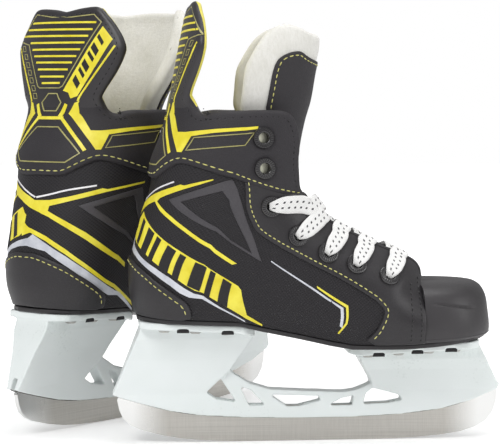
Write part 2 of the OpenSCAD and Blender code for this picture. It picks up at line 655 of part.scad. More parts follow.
// lower edge of the runner and its two ends: x, z
RUNNER_LOW = [[-100.3, 22.8], [-99.2, 17.5], [-97.4, 13.2], [-93.5, 9.4],
              [-88.3, 6.9], [-77.8, 4], [-67.3, 2], [-56, 0.8], [-44, 0.2],
              [-36, 0], [36, 0], [46, 0.15], [58, 0.6], [71, 1.6], [82.5, 3.2],
              [90.6, 5.8], [96, 9], [99.8, 13.8], [101.7, 19.7], [102.2, 25.1]];
module runner() color(steel) difference() {
  profile(steel_t) polygon(concat(RUNNER_LOW, tang_line(tang)));
  // notches that take the bolts' nuts
  for (bolt = BOLTS)
    translate([bolt[0] - RUNNER_NOTCH[0] / 2, -RUNNER_NOTCH[1] / 2, bolt[4]])
      cube(RUNNER_NOTCH);
}

// rivets from under the flanges to the top of the midsole board
module rivets() color(steel)
  for (p = RIVETS) {
    low = lookup(p[0], p[0] < 0 ? HEEL_FLANGE_LOW : TOE_FLANGE_LOW);
    high = sole_z(p[0]) + board_top;
    translate([p[0], p[1], 0]) rotate_extrude($fn = 24)
      polygon([[0, low - 1.4], [2.4, low - 1.4], [3.3, low - 0.35], [1.9, low - 0.35],
               [1.9, high + 0.3], [3, high + 0.3], [2.6, high + 1], [0, high + 1]]);
  }

// bolts that pull the runner up into the holder, and their nuts
module runner_bolts() color(steel)
  for (bolt = BOLTS) translate([bolt[0], 0, bolt[1] + 0.1]) difference() {
    union() {
      cylinder(r = 4, h = 3.4, $fn = 32);
      translate([0, 0, -bolt[2]]) cylinder(r = 2, h = bolt[2] + 0.5, $fn = 32);
    }
    translate([0, 0, 1.4]) cylinder(r = 1.7, h = 5, $fn = 6);
  }
module runner_nuts() color(steel)
  for (bolt = BOLTS) translate([bolt[0], 0, bolt[3] + 0.5]) difference() {
    cylinder(r = 3.5, h = 3.2, $fn = 6);
    translate([0, 0, -1]) cylinder(r = 2.05, h = 6, $fn = 32);
  }

// ---------- the pair ----------

module place_left() translate([left_x, left_y, 0]) rotate([0, 0, left_turn])
  mirror([0, 1, 0]) children();

outsole();  // right_outsole
midsole_board();  // right_midsole_board
footbed();  // right_footbed
toe_cap();  // right_toe_cap
toe_box_lining();  // right_toe_box_lining
lateral_quarter();  // right_lateral_quarter
medial_quarter();  // right_medial_quarter
heel_counter();  // right_heel_counter
ankle_collar();  // right_ankle_collar
lateral_eyestay();  // right_lateral_eyestay
medial_eyestay();  // right_medial_eyestay
liner();  // right_liner
ankle_pads();  // right_ankle_pads
tendon_guard();  // right_tendon_guard
guard_lining();  // right_guard_lining
tongue_base();  // right_tongue_base
tongue_flap();  // right_tongue_flap
tongue_facing();  // right_tongue_facing
eyelets();  // right_eyelets
lace();  // right_lace
holder();  // right_holder
runner();  // right_runner
rivets();  // right_rivets
runner_bolts();  // right_runner_bolts
runner_nuts();  // right_runner_nuts

place_left() outsole();  // left_outsole
place_left() midsole_board();  // left_midsole_board
place_left() footbed();  // left_footbed
place_left() toe_cap();  // left_toe_cap
place_left() toe_box_lining();  // left_toe_box_lining
place_left() lateral_quarter();  // left_lateral_quarter
place_left() medial_quarter();  // left_medial_quarter
place_left() heel_counter();  // left_heel_counter
place_left() ankle_collar();  // left_ankle_collar
place_left() lateral_eyestay();  // left_lateral_eyestay
place_left() medial_eyestay();  // left_medial_eyestay
place_left() liner();  // left_liner
place_left() ankle_pads();  // left_ankle_pads
place_left() tendon_guard();  // left_tendon_guard
place_left() guard_lining();  // left_guard_lining
place_left() tongue_base();  // left_tongue_base
place_left() tongue_flap();  // left_tongue_flap
place_left() tongue_facing();  // left_tongue_facing
place_left() eyelets();  // left_eyelets
place_left() lace();  // left_lace
place_left() holder();  // left_holder
place_left() runner();  // left_runner
place_left() rivets();  // left_rivets
place_left() runner_bolts();  // left_runner_bolts
place_left() runner_nuts();  // left_runner_nuts
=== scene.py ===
import math

import bpy
import numpy as np
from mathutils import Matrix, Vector, geometry


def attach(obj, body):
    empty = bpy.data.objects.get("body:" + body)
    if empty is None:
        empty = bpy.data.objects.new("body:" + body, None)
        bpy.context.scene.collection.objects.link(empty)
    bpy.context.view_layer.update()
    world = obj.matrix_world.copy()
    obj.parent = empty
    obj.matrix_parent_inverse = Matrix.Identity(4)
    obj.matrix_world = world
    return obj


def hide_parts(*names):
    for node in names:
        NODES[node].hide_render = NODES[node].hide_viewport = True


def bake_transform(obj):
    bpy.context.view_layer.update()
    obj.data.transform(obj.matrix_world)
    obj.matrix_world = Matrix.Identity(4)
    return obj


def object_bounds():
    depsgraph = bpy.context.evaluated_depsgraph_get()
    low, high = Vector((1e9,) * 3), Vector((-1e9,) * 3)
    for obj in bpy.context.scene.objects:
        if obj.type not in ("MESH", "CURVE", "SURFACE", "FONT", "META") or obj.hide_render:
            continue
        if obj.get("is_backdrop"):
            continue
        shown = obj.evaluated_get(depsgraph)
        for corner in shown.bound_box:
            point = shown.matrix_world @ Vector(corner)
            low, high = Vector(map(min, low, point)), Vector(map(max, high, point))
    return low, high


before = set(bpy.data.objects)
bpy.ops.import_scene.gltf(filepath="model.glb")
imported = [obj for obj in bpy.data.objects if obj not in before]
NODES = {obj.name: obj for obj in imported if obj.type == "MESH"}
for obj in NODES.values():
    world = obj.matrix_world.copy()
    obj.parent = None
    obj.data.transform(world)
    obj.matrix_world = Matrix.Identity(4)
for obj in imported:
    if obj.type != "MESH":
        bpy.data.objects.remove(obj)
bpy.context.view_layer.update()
SIDES = ("right", "left")
TURN = math.radians(44)


# ---------------------------------------------------------------- curves and the boot's form
# One skate is described in its own millimetres: +x toe, -y outer side, z up.

def crv(P, x):
    """Smooth curve through a table of (x, value), held flat past its ends."""
    P = np.asarray(P, float)
    X, Y = P[:, 0], P[:, 1]
    m = np.empty(len(P))
    m[0] = (Y[1] - Y[0]) / (X[1] - X[0])
    m[-1] = (Y[-1] - Y[-2]) / (X[-1] - X[-2])
    m[1:-1] = (Y[2:] - Y[:-2]) / (X[2:] - X[:-2])
    x = np.clip(np.asarray(x, float), X[0], X[-1])
    i = np.clip(np.searchsorted(X, x, side="right") - 1, 0, len(P) - 2)
    h = X[i + 1] - X[i]
    t = (x - X[i]) / h
    return (Y[i] * (1 + 2 * t) * (1 - t) ** 2 + h * m[i] * t * (1 - t) ** 2
            + Y[i + 1] * t * t * (3 - 2 * t) - h * m[i + 1] * t * t * (1 - t))


def smooth(t):
    t = np.clip(t, 0, 1)
    return t * t * (3 - 2 * t)


SOLE = [(-110, 67.1), (-90, 66.2), (-37, 63.8), (-27, 61.2), (-6, 57), (9, 53.8), (20, 52), (46, 52.2),
        (67, 53.3), (94, 55)]
SOLE_T = 2.6
BACK = [(64, -89.5), (70, -89.8), (80, -92), (90, -92.6), (99, -92.4), (109, -90), (120, -87.4),
        (133, -83), (148, -80.8), (159, -76.6), (171, -72.8), (180, -71.6)]
ROUND = [(66, 32), (90, 35), (120, 39), (150, 40), (176, 37)]
DEV, NE = 46.0, 2.25
WA = [(-75, 27), (-45, 27), (-20, 26), (5, 28.5), (30, 33.5), (50, 35.5), (60, 35)]
WB = [(-75, 31.5), (-45, 32), (-20, 32.5), (5, 35), (30, 38.5), (50, 39.5), (60, 38.5)]
WC = [(-75, 34), (-45, 35.5), (-20, 37), (5, 38), (30, 39), (50, 38.5), (60, 37)]
WD = [(-75, 38.5), (-45, 40.5), (-15, 39), (10, 38), (60, 37)]
WE = [(-75, 38), (-45, 39.5), (-8, 37.5), (60, 37)]
EDGE = np.array([(-10.3, 170, 37), (-8, 160, 36.4), (-8, 150, 36), (-7.4, 141, 34), (-5.2, 134, 30),
                 (-1.5, 129.6, 25.5), (8, 119.5, 20), (20, 112.6, 17), (34, 106, 15), (46, 101, 13.8),
                 (54, 97, 13), (57.4, 93, 12.5), (58.4, 88, 12.5)], float)
G_BACK = [(173, -72.6), (182, -70.9), (195, -68.6), (208, -66.2), (228.6, -62)]
G_EDGE = [(173, -59.5), (178, -63.5), (182, -64.8), (187, -63.6), (195, -60.8), (203, -58.6),
          (210, -58), (218, -58.4), (226, -60), (228.6, -61)]
G_W = [(173, 33.5), (178, 31), (182, 30.6), (187, 33), (195, 37.6), (203, 41), (208, 41.4),
       (214, 38.4), (220, 34), (225, 30.4), (228.6, 26)]


def sole_z(x):
    P = np.array(SOLE)
    return np.interp(x, P[:, 0], P[:, 1])


def x0(z):
    return crv(BACK, z) + crv(ROUND, z)


def side_w(x, z):
    V = np.stack([crv(T, x) for T in (WA, WB, WC, WD, WE)])
    K = np.array([0, 12, 40, 80, 108.0])
    t = np.clip(z - sole_z(x) - SOLE_T, 0, 108)
    M = np.empty_like(V)
    M[0] = (V[1] - V[0]) / 12
    M[4] = (V[4] - V[3]) / 28
    for i in (1, 2, 3):
        M[i] = (V[i + 1] - V[i - 1]) / (K[i + 1] - K[i - 1])
    i = np.clip(np.searchsorted(K, t, side="right") - 1, 0, 3)
    n = np.arange(t.size).reshape(t.shape)
    Vf, Mf = V.reshape(5, -1), M.reshape(5, -1)
    pick = lambda A, k: A[k.ravel(), n.ravel()].reshape(t.shape)
    h = K[i + 1] - K[i]
    u = (t - K[i]) / h
    return (pick(Vf, i) * (1 + 2 * u) * (1 - u) ** 2 + h * pick(Mf, i) * u * (1 - u) ** 2
            + pick(Vf, i + 1) * u * u * (3 - 2 * u) - h * pick(Mf, i + 1) * u * u * (1 - u))


def half_w(x, z):
    w = side_w(x, z)
    best = np.full(x.shape, 1e9)
    we = np.zeros(x.shape)
    side = np.ones(x.shape)
    for a, b in zip(EDGE[:-1], EDGE[1:]):
        ax, az = b[0] - a[0], b[1] - a[1]
        t = np.clip(((x - a[0]) * ax + (z - a[1]) * az) / (ax * ax + az * az), 0, 1)
        d = np.hypot(x - a[0] - t * ax, z - a[1] - t * az)
        near = d < best
        best = np.where(near, d, best)
        side = np.where(near, np.where(ax * (z - a[1]) > az * (x - a[0]), -1.0, 1.0), side)
        we = np.where(near, a[2] + t * (b[2] - a[2]), we)
    q = 1 - np.clip(best * side / 26.0, -0.12, 1)
    return w - (w - we) * q * q


def boot0(t, z):
    """Outer form of the boot. t runs round it from the back centre line, below 0 on the outer side."""
    a = np.abs(t)
    sg = np.where(t < 0, -1.0, 1.0)
    X0, ra = x0(z), crv(ROUND, z)
    c = np.pi / 2 * np.clip(a / DEV, 0, 1)
    flat = X0 + np.maximum(a - DEV, 0)
    x = np.where(a < DEV, X0 - ra * np.cos(c) ** (2 / NE), flat)
    y = half_w(np.where(a < DEV, X0, flat), np.minimum(z, 176.0))
    y = y * np.where(a < DEV, np.sin(c) ** (2 / NE), 1.0)
    m = smooth((z - 170) / 12) * (1 - smooth((a - 30) / 16) * (z < 178))
    yg = a * 1.16
    xg = crv(G_BACK, z) + (crv(G_EDGE, z) - crv(G_BACK, z)) * (yg / crv(G_W, z)) ** 2.3
    return np.stack([x * (1 - m) + xg * m, sg * (y * (1 - m) + yg * m), z], -1)


def normal_of(f, t, z, e=0.35):
    n = np.cross(f(t, z + e) - f(t, z - e), f(t + e, z) - f(t - e, z))
    return n / np.maximum(np.linalg.norm(n, axis=-1, keepdims=True), 1e-9)


def on(f):
    def g(t, z, o):
        t, z = np.asarray(t, float), np.asarray(z, float)
        return f(t, z) + normal_of(f, t, z) * np.broadcast_to(o, t.shape)[..., None]
    return g


boot = on(boot0)


def tx(x, z):
    """Distance round the boot of a point given by its side view x and z."""
    x, z = np.broadcast_arrays(np.asarray(x, float), np.asarray(z, float))
    X0, ra = x0(z), crv(ROUND, z)
    k = np.clip((X0 - x) / ra, 0, 1) ** (NE / 2)
    return np.where(x >= X0, x - X0 + DEV, DEV * np.arccos(k) / (np.pi / 2))


def TX(P):
    P = np.asarray(P, float)
    return np.stack([tx(P[:, 0], P[:, 1]), P[:, 1]], 1)


def flip(P):
    return np.asarray(P, float)[::-1] * [-1, 1]


# the tongue: an angle round it (as millimetres) and a height
T_FRONT = [(129, 0.2), (132.8, -3.4), (141, -4.4), (152, -4.6), (169, -1.6), (180, 1.4), (195, 4),
           (208, 7), (214.6, 7.4)]
T_DEPTH = [(129, 11), (132.8, 13), (141, 18), (152, 27), (169, 34), (176, 38), (186, 38.5),
           (197, 38), (206, 36.5), (219, 36)]
T_HALF = [(129, 15), (132.8, 16), (141, 21.5), (152, 24.5), (169, 27), (180, 30.5), (195, 33),
          (206, 32.5), (219, 31)]
AK = 0.55


def tongue0(t, z):
    a = np.radians(np.asarray(t, float) / AK)
    f, d, w = crv(T_FRONT, z), crv(T_DEPTH, z), crv(T_HALF, z)
    return np.stack([f - d * (1 - np.cos(a)), w * np.sin(a), z + 0 * a], -1)


def tongue(t, z, o):
    """o is the distance outwards from the face of the tongue."""
    t, z = np.asarray(t, float), np.asarray(z, float)
    n = np.cross(tongue0(t + .3, z) - tongue0(t - .3, z), tongue0(t, z + .3) - tongue0(t, z - .3))
    n = n / np.maximum(np.linalg.norm(n, axis=-1, keepdims=True), 1e-9)
    return tongue0(t, z) + n * np.broadcast_to(o, t.shape)[..., None]


# ---------------------------------------------------------------- flat shapes to sheets

def resample(P, h, closed=True):
    P = np.asarray(P, float)
    Q = np.vstack([P, P[:1]]) if closed else P
    out = []
    for a, b in zip(Q[:-1], Q[1:]):
        n = max(1, int(round(np.hypot(*(b - a)) / h)))
        out += [a + (b - a) * i / n for i in range(n)]
    if not closed:
        out.append(Q[-1])
    return np.array(out)


def fair(P, n=6, closed=False):
    """Catmull-Rom curve through the points."""
    P = np.asarray(P, float)
    Q = np.vstack([P[-1:], P, P[:2]]) if closed else np.vstack([2 * P[0] - P[1], P, 2 * P[-1] - P[-2]])
    out = []
    for i in range(1, len(Q) - 2):
        p0, p1, p2, p3 = Q[i - 1:i + 3]
        for k in range(n):
            t = k / n
            out.append(0.5 * (2 * p1 + (p2 - p0) * t + (2 * p0 - 5 * p1 + 4 * p2 - p3) * t * t
                              + (3 * p1 - p0 - 3 * p2 + p3) * t ** 3))
    if not closed:
        out.append(P[-1])
    return np.array(out)


def shift(P, d):
    """The polyline moved sideways by d, to its left for d above 0."""
    P = np.asarray(P, float)
    T = np.gradient(P, axis=0)
    T /= np.maximum(np.linalg.norm(T, axis=1, keepdims=True), 1e-9)
    return P + np.stack([-T[:, 1], T[:, 0]], 1) * np.reshape(d, (-1, 1))


def inside(P, loops):
    x, y = P[:, 0], P[:, 1]
    r = np.zeros(len(P), bool)
    for L in loops:
        for (x1, y1), (x2, y2) in zip(L, np.roll(L, -1, 0)):
            if y1 != y2:
                r ^= ((y1 > y) != (y2 > y)) & (x < (x2 - x1) * (y - y1) / (y2 - y1) + x1)
    return r


def edge_dist(P, segs):
    best = np.full(len(P), 1e9)
    for a, b in segs:
        v = b - a
        t = np.clip(((P - a) @ v) / max(v @ v, 1e-12), 0, 1)
        best = np.minimum(best, np.hypot(*(P - a - t[:, None] * v).T))
    return best


def segments(L):
    return list(zip(L, np.roll(L, -1, 0)))


def region(loops, h, hb, rims):
    """Triangulated flat region: the first loop is its outline and the others are holes."""
    B = [resample(L, hb) for L in loops]
    segs = [s for L in B for s in segments(L)]
    lo, hi = B[0].min(0), B[0].max(0)
    gx, gy = np.meshgrid(np.arange(lo[0] + h * .31, hi[0], h), np.arange(lo[1] + h * .29, hi[1], h * .866))
    gx[1::2] += h / 2
    G = np.stack([gx.ravel(), gy.ravel()], 1)
    G = G[inside(G, B)]
    if len(G):
        G = G[edge_dist(G, segs) > (max(rims) if rims else 0) + h * .45]
    pts = [p for L in B for p in L]
    edges, k = [], 0
    for L in B:
        edges += [(k + i, k + (i + 1) % len(L)) for i in range(len(L))]
        k += len(L)
    extra = [G]
    for r in rims:
        for L in B:
            T = np.roll(L, -1, 0) - np.roll(L, 1, 0)
            T /= np.maximum(np.linalg.norm(T, axis=1, keepdims=True), 1e-9)
            for s in (1, -1):
                Q = L + s * r * np.stack([-T[:, 1], T[:, 0]], 1)
                Q = Q[inside(Q, B)]
                if len(Q):
                    extra.append(Q[edge_dist(Q, segs) > r * .93])
    allp = np.vstack([np.array(pts)] + [e for e in extra if len(e)])
    V, _, F, *_ = geometry.delaunay_2d_cdt([Vector(p) for p in allp], edges, [], 0, 1e-4)
    V = np.array([tuple(v) for v in V])
    F = np.array([f for f in F if len(f) == 3])
    F = F[inside(V[F].mean(1), B)]
    used, inv = np.unique(F, return_inverse=True)
    V, F = V[used], inv.reshape(-1, 3)
    a, b, c = V[F[:, 0]], V[F[:, 1]], V[F[:, 2]]
    cw = (b[:, 0] - a[:, 0]) * (c[:, 1] - a[:, 1]) - (b[:, 1] - a[:, 1]) * (c[:, 0] - a[:, 0]) < 0
    F[cw] = F[cw][:, ::-1]
    return V, F, edge_dist(V, segs), segs


def rim_edges(F):
    seen = {}
    for f in F.tolist():
        for a, b in ((f[0], f[1]), (f[1], f[2]), (f[2], f[0])):
            if (b, a) in seen:
                del seen[(b, a)]
            else:
                seen[(a, b)] = 1
    return list(seen)


class Mesh:
    """Points, faces, a flat coordinate per point and a material number per face."""

    def __init__(self):
        self.V, self.F, self.U, self.M, self.n = [], [], [], [], 0

    def add(self, V, F, U=None, m=0):
        V = np.asarray(V, float)
        self.V.append(V)
        self.U.append(np.zeros((len(V), 2)) if U is None else np.asarray(U, float))
        self.F += [[i + self.n for i in f] for f in (F.tolist() if hasattr(F, "tolist") else F)]
        self.M += [m] * len(F) if np.ndim(m) == 0 else list(m)
        self.n += len(V)
        return self

    def join(self, other, m=None):
        for V, U in zip(other.V, other.U):
            self.V.append(V)
            self.U.append(U)
        self.F += [[i + self.n for i in f] for f in other.F]
        self.M += other.M if m is None else [m] * len(other.F)
        self.n += other.n
        return self


def sheet(loops, o0, o1, r=0.5, h=2.4, hb=1.2, sf=boot, back=True, m=0, mesh=None, free=None, wall=0):
    """A sheet of the flat shape laid on the form, from height o0 to o1, with its top edge rounded by r.
    o0 and o1 may be functions of the flat points. free(P) marks the edge parts that aren't rounded."""
    rims = [r * k for k in (0.12, 0.45, 1.0)] if r > 0.3 else ([r] if r > 0 else [])
    V, F, d, segs = region(loops, h, hb, rims)
    if free is not None:
        keep = [s for s in segs if not free((s[0] + s[1]) / 2)]
        d = edge_dist(V, keep)
    q = np.clip(1 - d / r, 0, 1) if r > 0 else 0 * d
    f0 = o0(V) if callable(o0) else np.full(len(V), float(o0))
    f1 = o1(V) if callable(o1) else np.full(len(V), float(o1))
    top = f1 - r * (1 - np.sqrt(np.maximum(0, 1 - q * q)))
    A = sf(V[:, 0], V[:, 1], top)
    mesh = mesh or Mesh()
    n = len(V)
    E = rim_edges(F)
    if back:
        mesh.add(np.vstack([A, sf(V[:, 0], V[:, 1], f0)]), [list(t) for t in F[:, ::-1]]
                 + [[i + n for i in t] for t in F.tolist()] + [[a, b, b + n, a + n] for a, b in E],
                 np.vstack([V, V]), [m] * (2 * len(F)) + [wall or m] * len(E))
    else:
        ids = sorted(set(i for e in E for i in e))
        at = {i: n + k for k, i in enumerate(ids)}
        W = sf(V[ids, 0], V[ids, 1], f0[ids])
        mesh.add(np.vstack([A, W]), [list(t) for t in F[:, ::-1]] + [[a, b, at[b], at[a]] for a, b in E],
                 np.vstack([V, V[ids]]), [m] * len(F) + [wall or m] * len(E))
    return mesh


def pad(loops, outer, inner, r, h=2.6, hb=1.5, sf=boot, mats=None, thick_at=None):
    """A padded piece: both faces meet in a full round at the edge. r may be a function of the points."""
    rmax = 3.0
    V, F, d, segs = region(loops, h, hb, [rmax * k for k in (0.06, 0.22, 0.48, 0.8)])
    R = r(V) if callable(r) else np.full(len(V), float(r))
    q = np.clip(1 - d / R, 0, 1)
    k = np.sqrt(np.maximum(0, 1 - q * q))
    fo, fi = outer(V, d), inner(V, d)
    mid = (fo + fi) / 2
    A = sf(V[:, 0], V[:, 1], mid + (fo - mid) * k)
    B = sf(V[:, 0], V[:, 1], mid + (fi - mid) * k)
    rim = set(i for e in rim_edges(F) for i in e)
    idx, nxt = {}, len(V)
    for i in range(len(V)):
        if i in rim:
            idx[i] = i
        else:
            idx[i] = nxt
            nxt += 1
    keep = [i for i in range(len(V)) if i not in rim]
    fa = [list(t) for t in F[:, ::-1]]
    fb = [[idx[i] for i in t] for t in F.tolist()]
    mm = [0] * len(fa) + [0] * len(fb)
    if mats is not None:
        c = V[F].mean(1)
        dd = d[F].mean(1)
        mm = list(mats(c, dd, True)) + list(mats(c, dd, False))
    return Mesh().add(np.vstack([A, B[keep]]), fa + fb, np.vstack([V, V[keep]]), mm)


def grid(P, m=0, closed_u=False, mesh=None, uv=None, turn=False):
    """A grid of points as quads. Rows run along the first index."""
    P = np.asarray(P, float)
    a, b = P.shape[:2]
    F = []
    for i in range(a if closed_u else a - 1):
        for j in range(b - 1):
            f = [i * b + j, ((i + 1) % a) * b + j, ((i + 1) % a) * b + j + 1, i * b + j + 1]
            F.append(f[::-1] if turn else f)
    if uv is None:
        uv = np.stack(np.meshgrid(np.arange(a), np.arange(b), indexing="ij"), -1).astype(float)
    return (mesh or Mesh()).add(P.reshape(-1, 3), F, uv.reshape(-1, 2), m)


def stroke(P, w, w1=None, close=False):
    """Outline of a line drawn through the points, w wide at its start and w1 at its end."""
    P = resample(np.asarray(P, float), 2.0, closed=close)
    if close:
        Q = np.vstack([P[-1:], P, P[:1]])
        T = Q[2:] - Q[:-2]
        T /= np.maximum(np.linalg.norm(T, axis=1, keepdims=True), 1e-9)
        N = np.stack([-T[:, 1], T[:, 0]], 1) * w / 2
        return [P + N, P - N]
    W = np.linspace(w, w if w1 is None else w1, len(P)) / 2
    return [np.vstack([shift(P, W), shift(P, -W)[::-1]])]


def stitches(paths, o, pitch=3.1, length=2.1, width=0.62, height=0.34, sf=boot, mesh=None):
    """Thread: short rounded stitches along each flat line, standing on the sheet at height o."""
    mesh = mesh or Mesh()
    ring = [(math.cos(a), math.sin(a)) for a in np.radians([0, 60, 120, 180, 240, 300])]
    prof = [(-1, 0.35), (-0.72, 0.85), (0, 1.0), (0.72, 0.85), (1, 0.35)]
    for path in paths:
        P = np.asarray(path, float)
        L = np.concatenate([[0], np.cumsum(np.hypot(*np.diff(P, axis=0).T))])
        for s in np.arange(pitch / 2, L[-1] - length / 2, pitch):
            ends = []
            for q in (s - length / 2, s, s + length / 2):
                ends.append((np.interp(q, L, P[:, 0]), np.interp(q, L, P[:, 1])))
            E = np.array(ends)
            oo = o(E) if callable(o) else np.full(3, float(o))
            C = sf(E[:, 0], E[:, 1], oo)
            up = sf(E[1:2, 0], E[1:2, 1], oo[1:2] + 1.0)[0] - C[1]
            up /= np.linalg.norm(up)
            d = C[2] - C[0]
            ln = np.linalg.norm(d)
            d = d / max(ln, 1e-6)
            sd = np.cross(d, up)
            V = []
            for a, k in prof:
                c = C[1] + d * a * ln / 2 - up * 0.16 * a * a
                V += [c + sd * x * width / 2 * k + up * y * height * k for x, y in ring]
            F = [[i * 6 + j, i * 6 + (j + 1) % 6, (i + 1) * 6 + (j + 1) % 6, (i + 1) * 6 + j]
                 for i in range(4) for j in range(6)]
            F += [[5, 4, 3, 2, 1, 0], [24, 25, 26, 27, 28, 29]]
            mesh.add(V, F, None, 0)
    return mesh


# ---------------------------------------------------------------- materials

def rgb(h):
    c = [int(h[i:i + 2], 16) / 255 for i in (1, 3, 5)]
    return tuple(x / 12.92 if x <= 0.04045 else ((x + 0.055) / 1.055) ** 2.4 for x in c)


class Mat:
    def __init__(self, name, **inputs):
        self.m = bpy.data.materials.new(name)
        self.m.use_nodes = True
        self.t = self.m.node_tree
        self.b = next(n for n in self.t.nodes if n.type == "BSDF_PRINCIPLED")
        for k, v in inputs.items():
            self.put(self.b, k.replace("_", " "), v)
        self.co = self.t.nodes.new("ShaderNodeTexCoord")

    def put(self, node, key, v):
        if isinstance(key, str):
            found = [s for s in node.inputs if s.name.lower() == key.lower() and s.enabled]
            if not found:
                return
            s = found[0]
        else:
            s = node.inputs[key]
        if hasattr(v, "is_linked"):
            self.t.links.new(v, s)
        elif s.type == "RGBA" and len(v) == 3:
            s.default_value = (*v, 1)
        else:
            s.default_value = v

    def node(self, kind, props=None, **inputs):
        n = self.t.nodes.new("ShaderNode" + kind)
        for k, v in (props or {}).items():
            setattr(n, k, v)
        for k, v in inputs.items():
            self.put(n, int(k[1:]) if k[0] == "i" and k[1:].isdigit() else k.replace("_", " "), v)
        return n

    def vec(self, kind="Object", scale=(1, 1, 1), turn=0.0, move=(0, 0, 0)):
        n = self.node("Mapping", Vector=self.co.outputs[kind], Scale=scale, Location=move)
        n.inputs["Rotation"].default_value = (0, 0, turn)
        return n.outputs[0]

    def noise(self, scale, detail=3.0, rough=0.55, vec=None):
        return self.node("TexNoise", Vector=vec or self.co.outputs["Object"], Scale=scale, Detail=detail,
                         Roughness=rough).outputs[0]

    def cells(self, scale, vec=None, random=1.0, feature="F1"):
        return self.node("TexVoronoi", {"feature": feature}, Vector=vec or self.co.outputs["Object"],
                         Scale=scale, Randomness=random).outputs[0]

    def math(self, op, a, b=0.0, c=0.0, clamp=False):
        n = self.node("Math", {"operation": op, "use_clamp": clamp})
        for i, v in enumerate((a, b, c)):
            if i < len(n.inputs):
                self.put(n, i, v)
        return n.outputs[0]

    def range(self, v, a, b, c, d):
        return self.node("MapRange", Value=v, From_Min=a, From_Max=b, To_Min=c, To_Max=d).outputs[0]

    def mix(self, f, a, b):
        n = self.node("Mix", {"data_type": "RGBA"})
        for s, v in ((n.inputs[0], f), (n.inputs[6], a), (n.inputs[7], b)):
            if hasattr(v, "is_linked"):
                self.t.links.new(v, s)
            else:
                s.default_value = (*v, 1) if hasattr(v, "__len__") and len(v) == 3 else v
        return n.outputs[2]

    def split(self, v):
        return self.node("SeparateXYZ", Vector=v).outputs

    def bump(self, height_mm):
        n = self.node("Bump", Height=height_mm, Strength=1.0, Distance=0.001)
        self.put(self.b, "Normal", n.outputs[0])

    def add(self, *hs):
        r = hs[0]
        for h in hs[1:]:
            r = self.math("ADD", r, h)
        return r

    def mul(self, a, b):
        return self.math("MULTIPLY", a, b)


def leather(name, base, alt, grain=950, depth=0.09, rough=(0.42, 0.62), mottle=55, spec=0.4, coat=0.0):
    M = Mat(name, Specular_IOR_Level=spec, Coat_Weight=coat, Coat_Roughness=0.25)
    cells = M.cells(grain)
    fine = M.noise(grain * 2.2, 4)
    large = M.noise(mottle, 3)
    f = M.range(M.add(M.mul(large, 0.8), M.mul(cells, 0.5)), 0.4, 1.1, 0, 1)
    M.put(M.b, "Base Color", M.mix(f, base, alt))
    M.put(M.b, "Roughness", M.range(M.add(large, M.mul(fine, 0.5)), 0.4, 1.1, rough[0], rough[1]))
    M.bump(M.add(M.mul(cells, depth), M.mul(fine, depth * 0.5), M.mul(large, 0.12)))
    return M.m


def print_film(name, base, alt, rough=0.4, metal=0.0):
    M = Mat(name, Metallic=metal, Specular_IOR_Level=0.5)
    n1, n2 = M.noise(140, 3), M.noise(2400, 2)
    M.put(M.b, "Base Color", M.mix(M.range(n1, 0.35, 0.7, 0, 1), base, alt))
    M.put(M.b, "Roughness", M.range(n2, 0.3, 0.7, rough - 0.08, rough + 0.1))
    M.bump(M.add(M.mul(n2, 0.03), M.mul(n1, 0.05)))
    return M.m


def net(name, base, alt, pitch=1.25, depth=0.16):
    """Woven panel: a close net of raised dots, laid out on the flat shape."""
    M = Mat(name, Specular_IOR_Level=0.3)
    v = M.vec("UV", (1 / pitch, 1 / pitch, 1), turn=math.radians(38))
    dots = M.cells(1.0, v, random=0.05)
    fine = M.noise(1800, 3)
    large = M.noise(50, 2)
    f = M.range(dots, 0.15, 0.55, 0, 1)
    M.put(M.b, "Base Color", M.mix(f, base, alt))
    M.put(M.b, "Roughness", M.range(M.add(f, large), 0.3, 1.6, 0.42, 0.68))
    M.bump(M.add(M.mul(f, -depth), M.mul(fine, 0.06), M.mul(large, 0.1)))
    return M.m


def felt(name, base, alt, depth=0.22):
    M = Mat(name, Specular_IOR_Level=0.2, Sheen_Weight=0.35, Sheen_Roughness=0.5, Roughness=0.95)
    a = M.noise(900, 6, 0.7, M.vec("Object", (1, 1, 0.35)))
    b = M.noise(900, 6, 0.7, M.vec("Object", (0.35, 0.35, 1)))
    c = M.noise(70, 4)
    M.put(M.b, "Base Color", M.mix(M.range(M.add(a, M.mul(c, 0.8)), 0.55, 1.3, 0, 1), alt, base))
    M.bump(M.add(M.mul(a, depth), M.mul(b, depth), M.mul(c, 0.5)))
    return M.m


def plastic(name, base, alt, rough=(0.3, 0.42), depth=0.03, sub=0.0, coat=0.0, grain=600):
    M = Mat(name, Subsurface_Weight=sub, Coat_Weight=coat, Coat_Roughness=0.15, Specular_IOR_Level=0.5)
    a, b = M.noise(grain, 4), M.noise(28, 2)
    M.put(M.b, "Subsurface Radius", (0.004, 0.004, 0.004)) if sub else None
    M.put(M.b, "Base Color", M.mix(M.range(b, 0.3, 0.7, 0, 1), base, alt))
    M.put(M.b, "Roughness", M.range(M.add(a, b), 0.7, 1.3, rough[0], rough[1]))
    M.bump(M.add(M.mul(a, depth), M.mul(b, 0.1)))
    return M.m


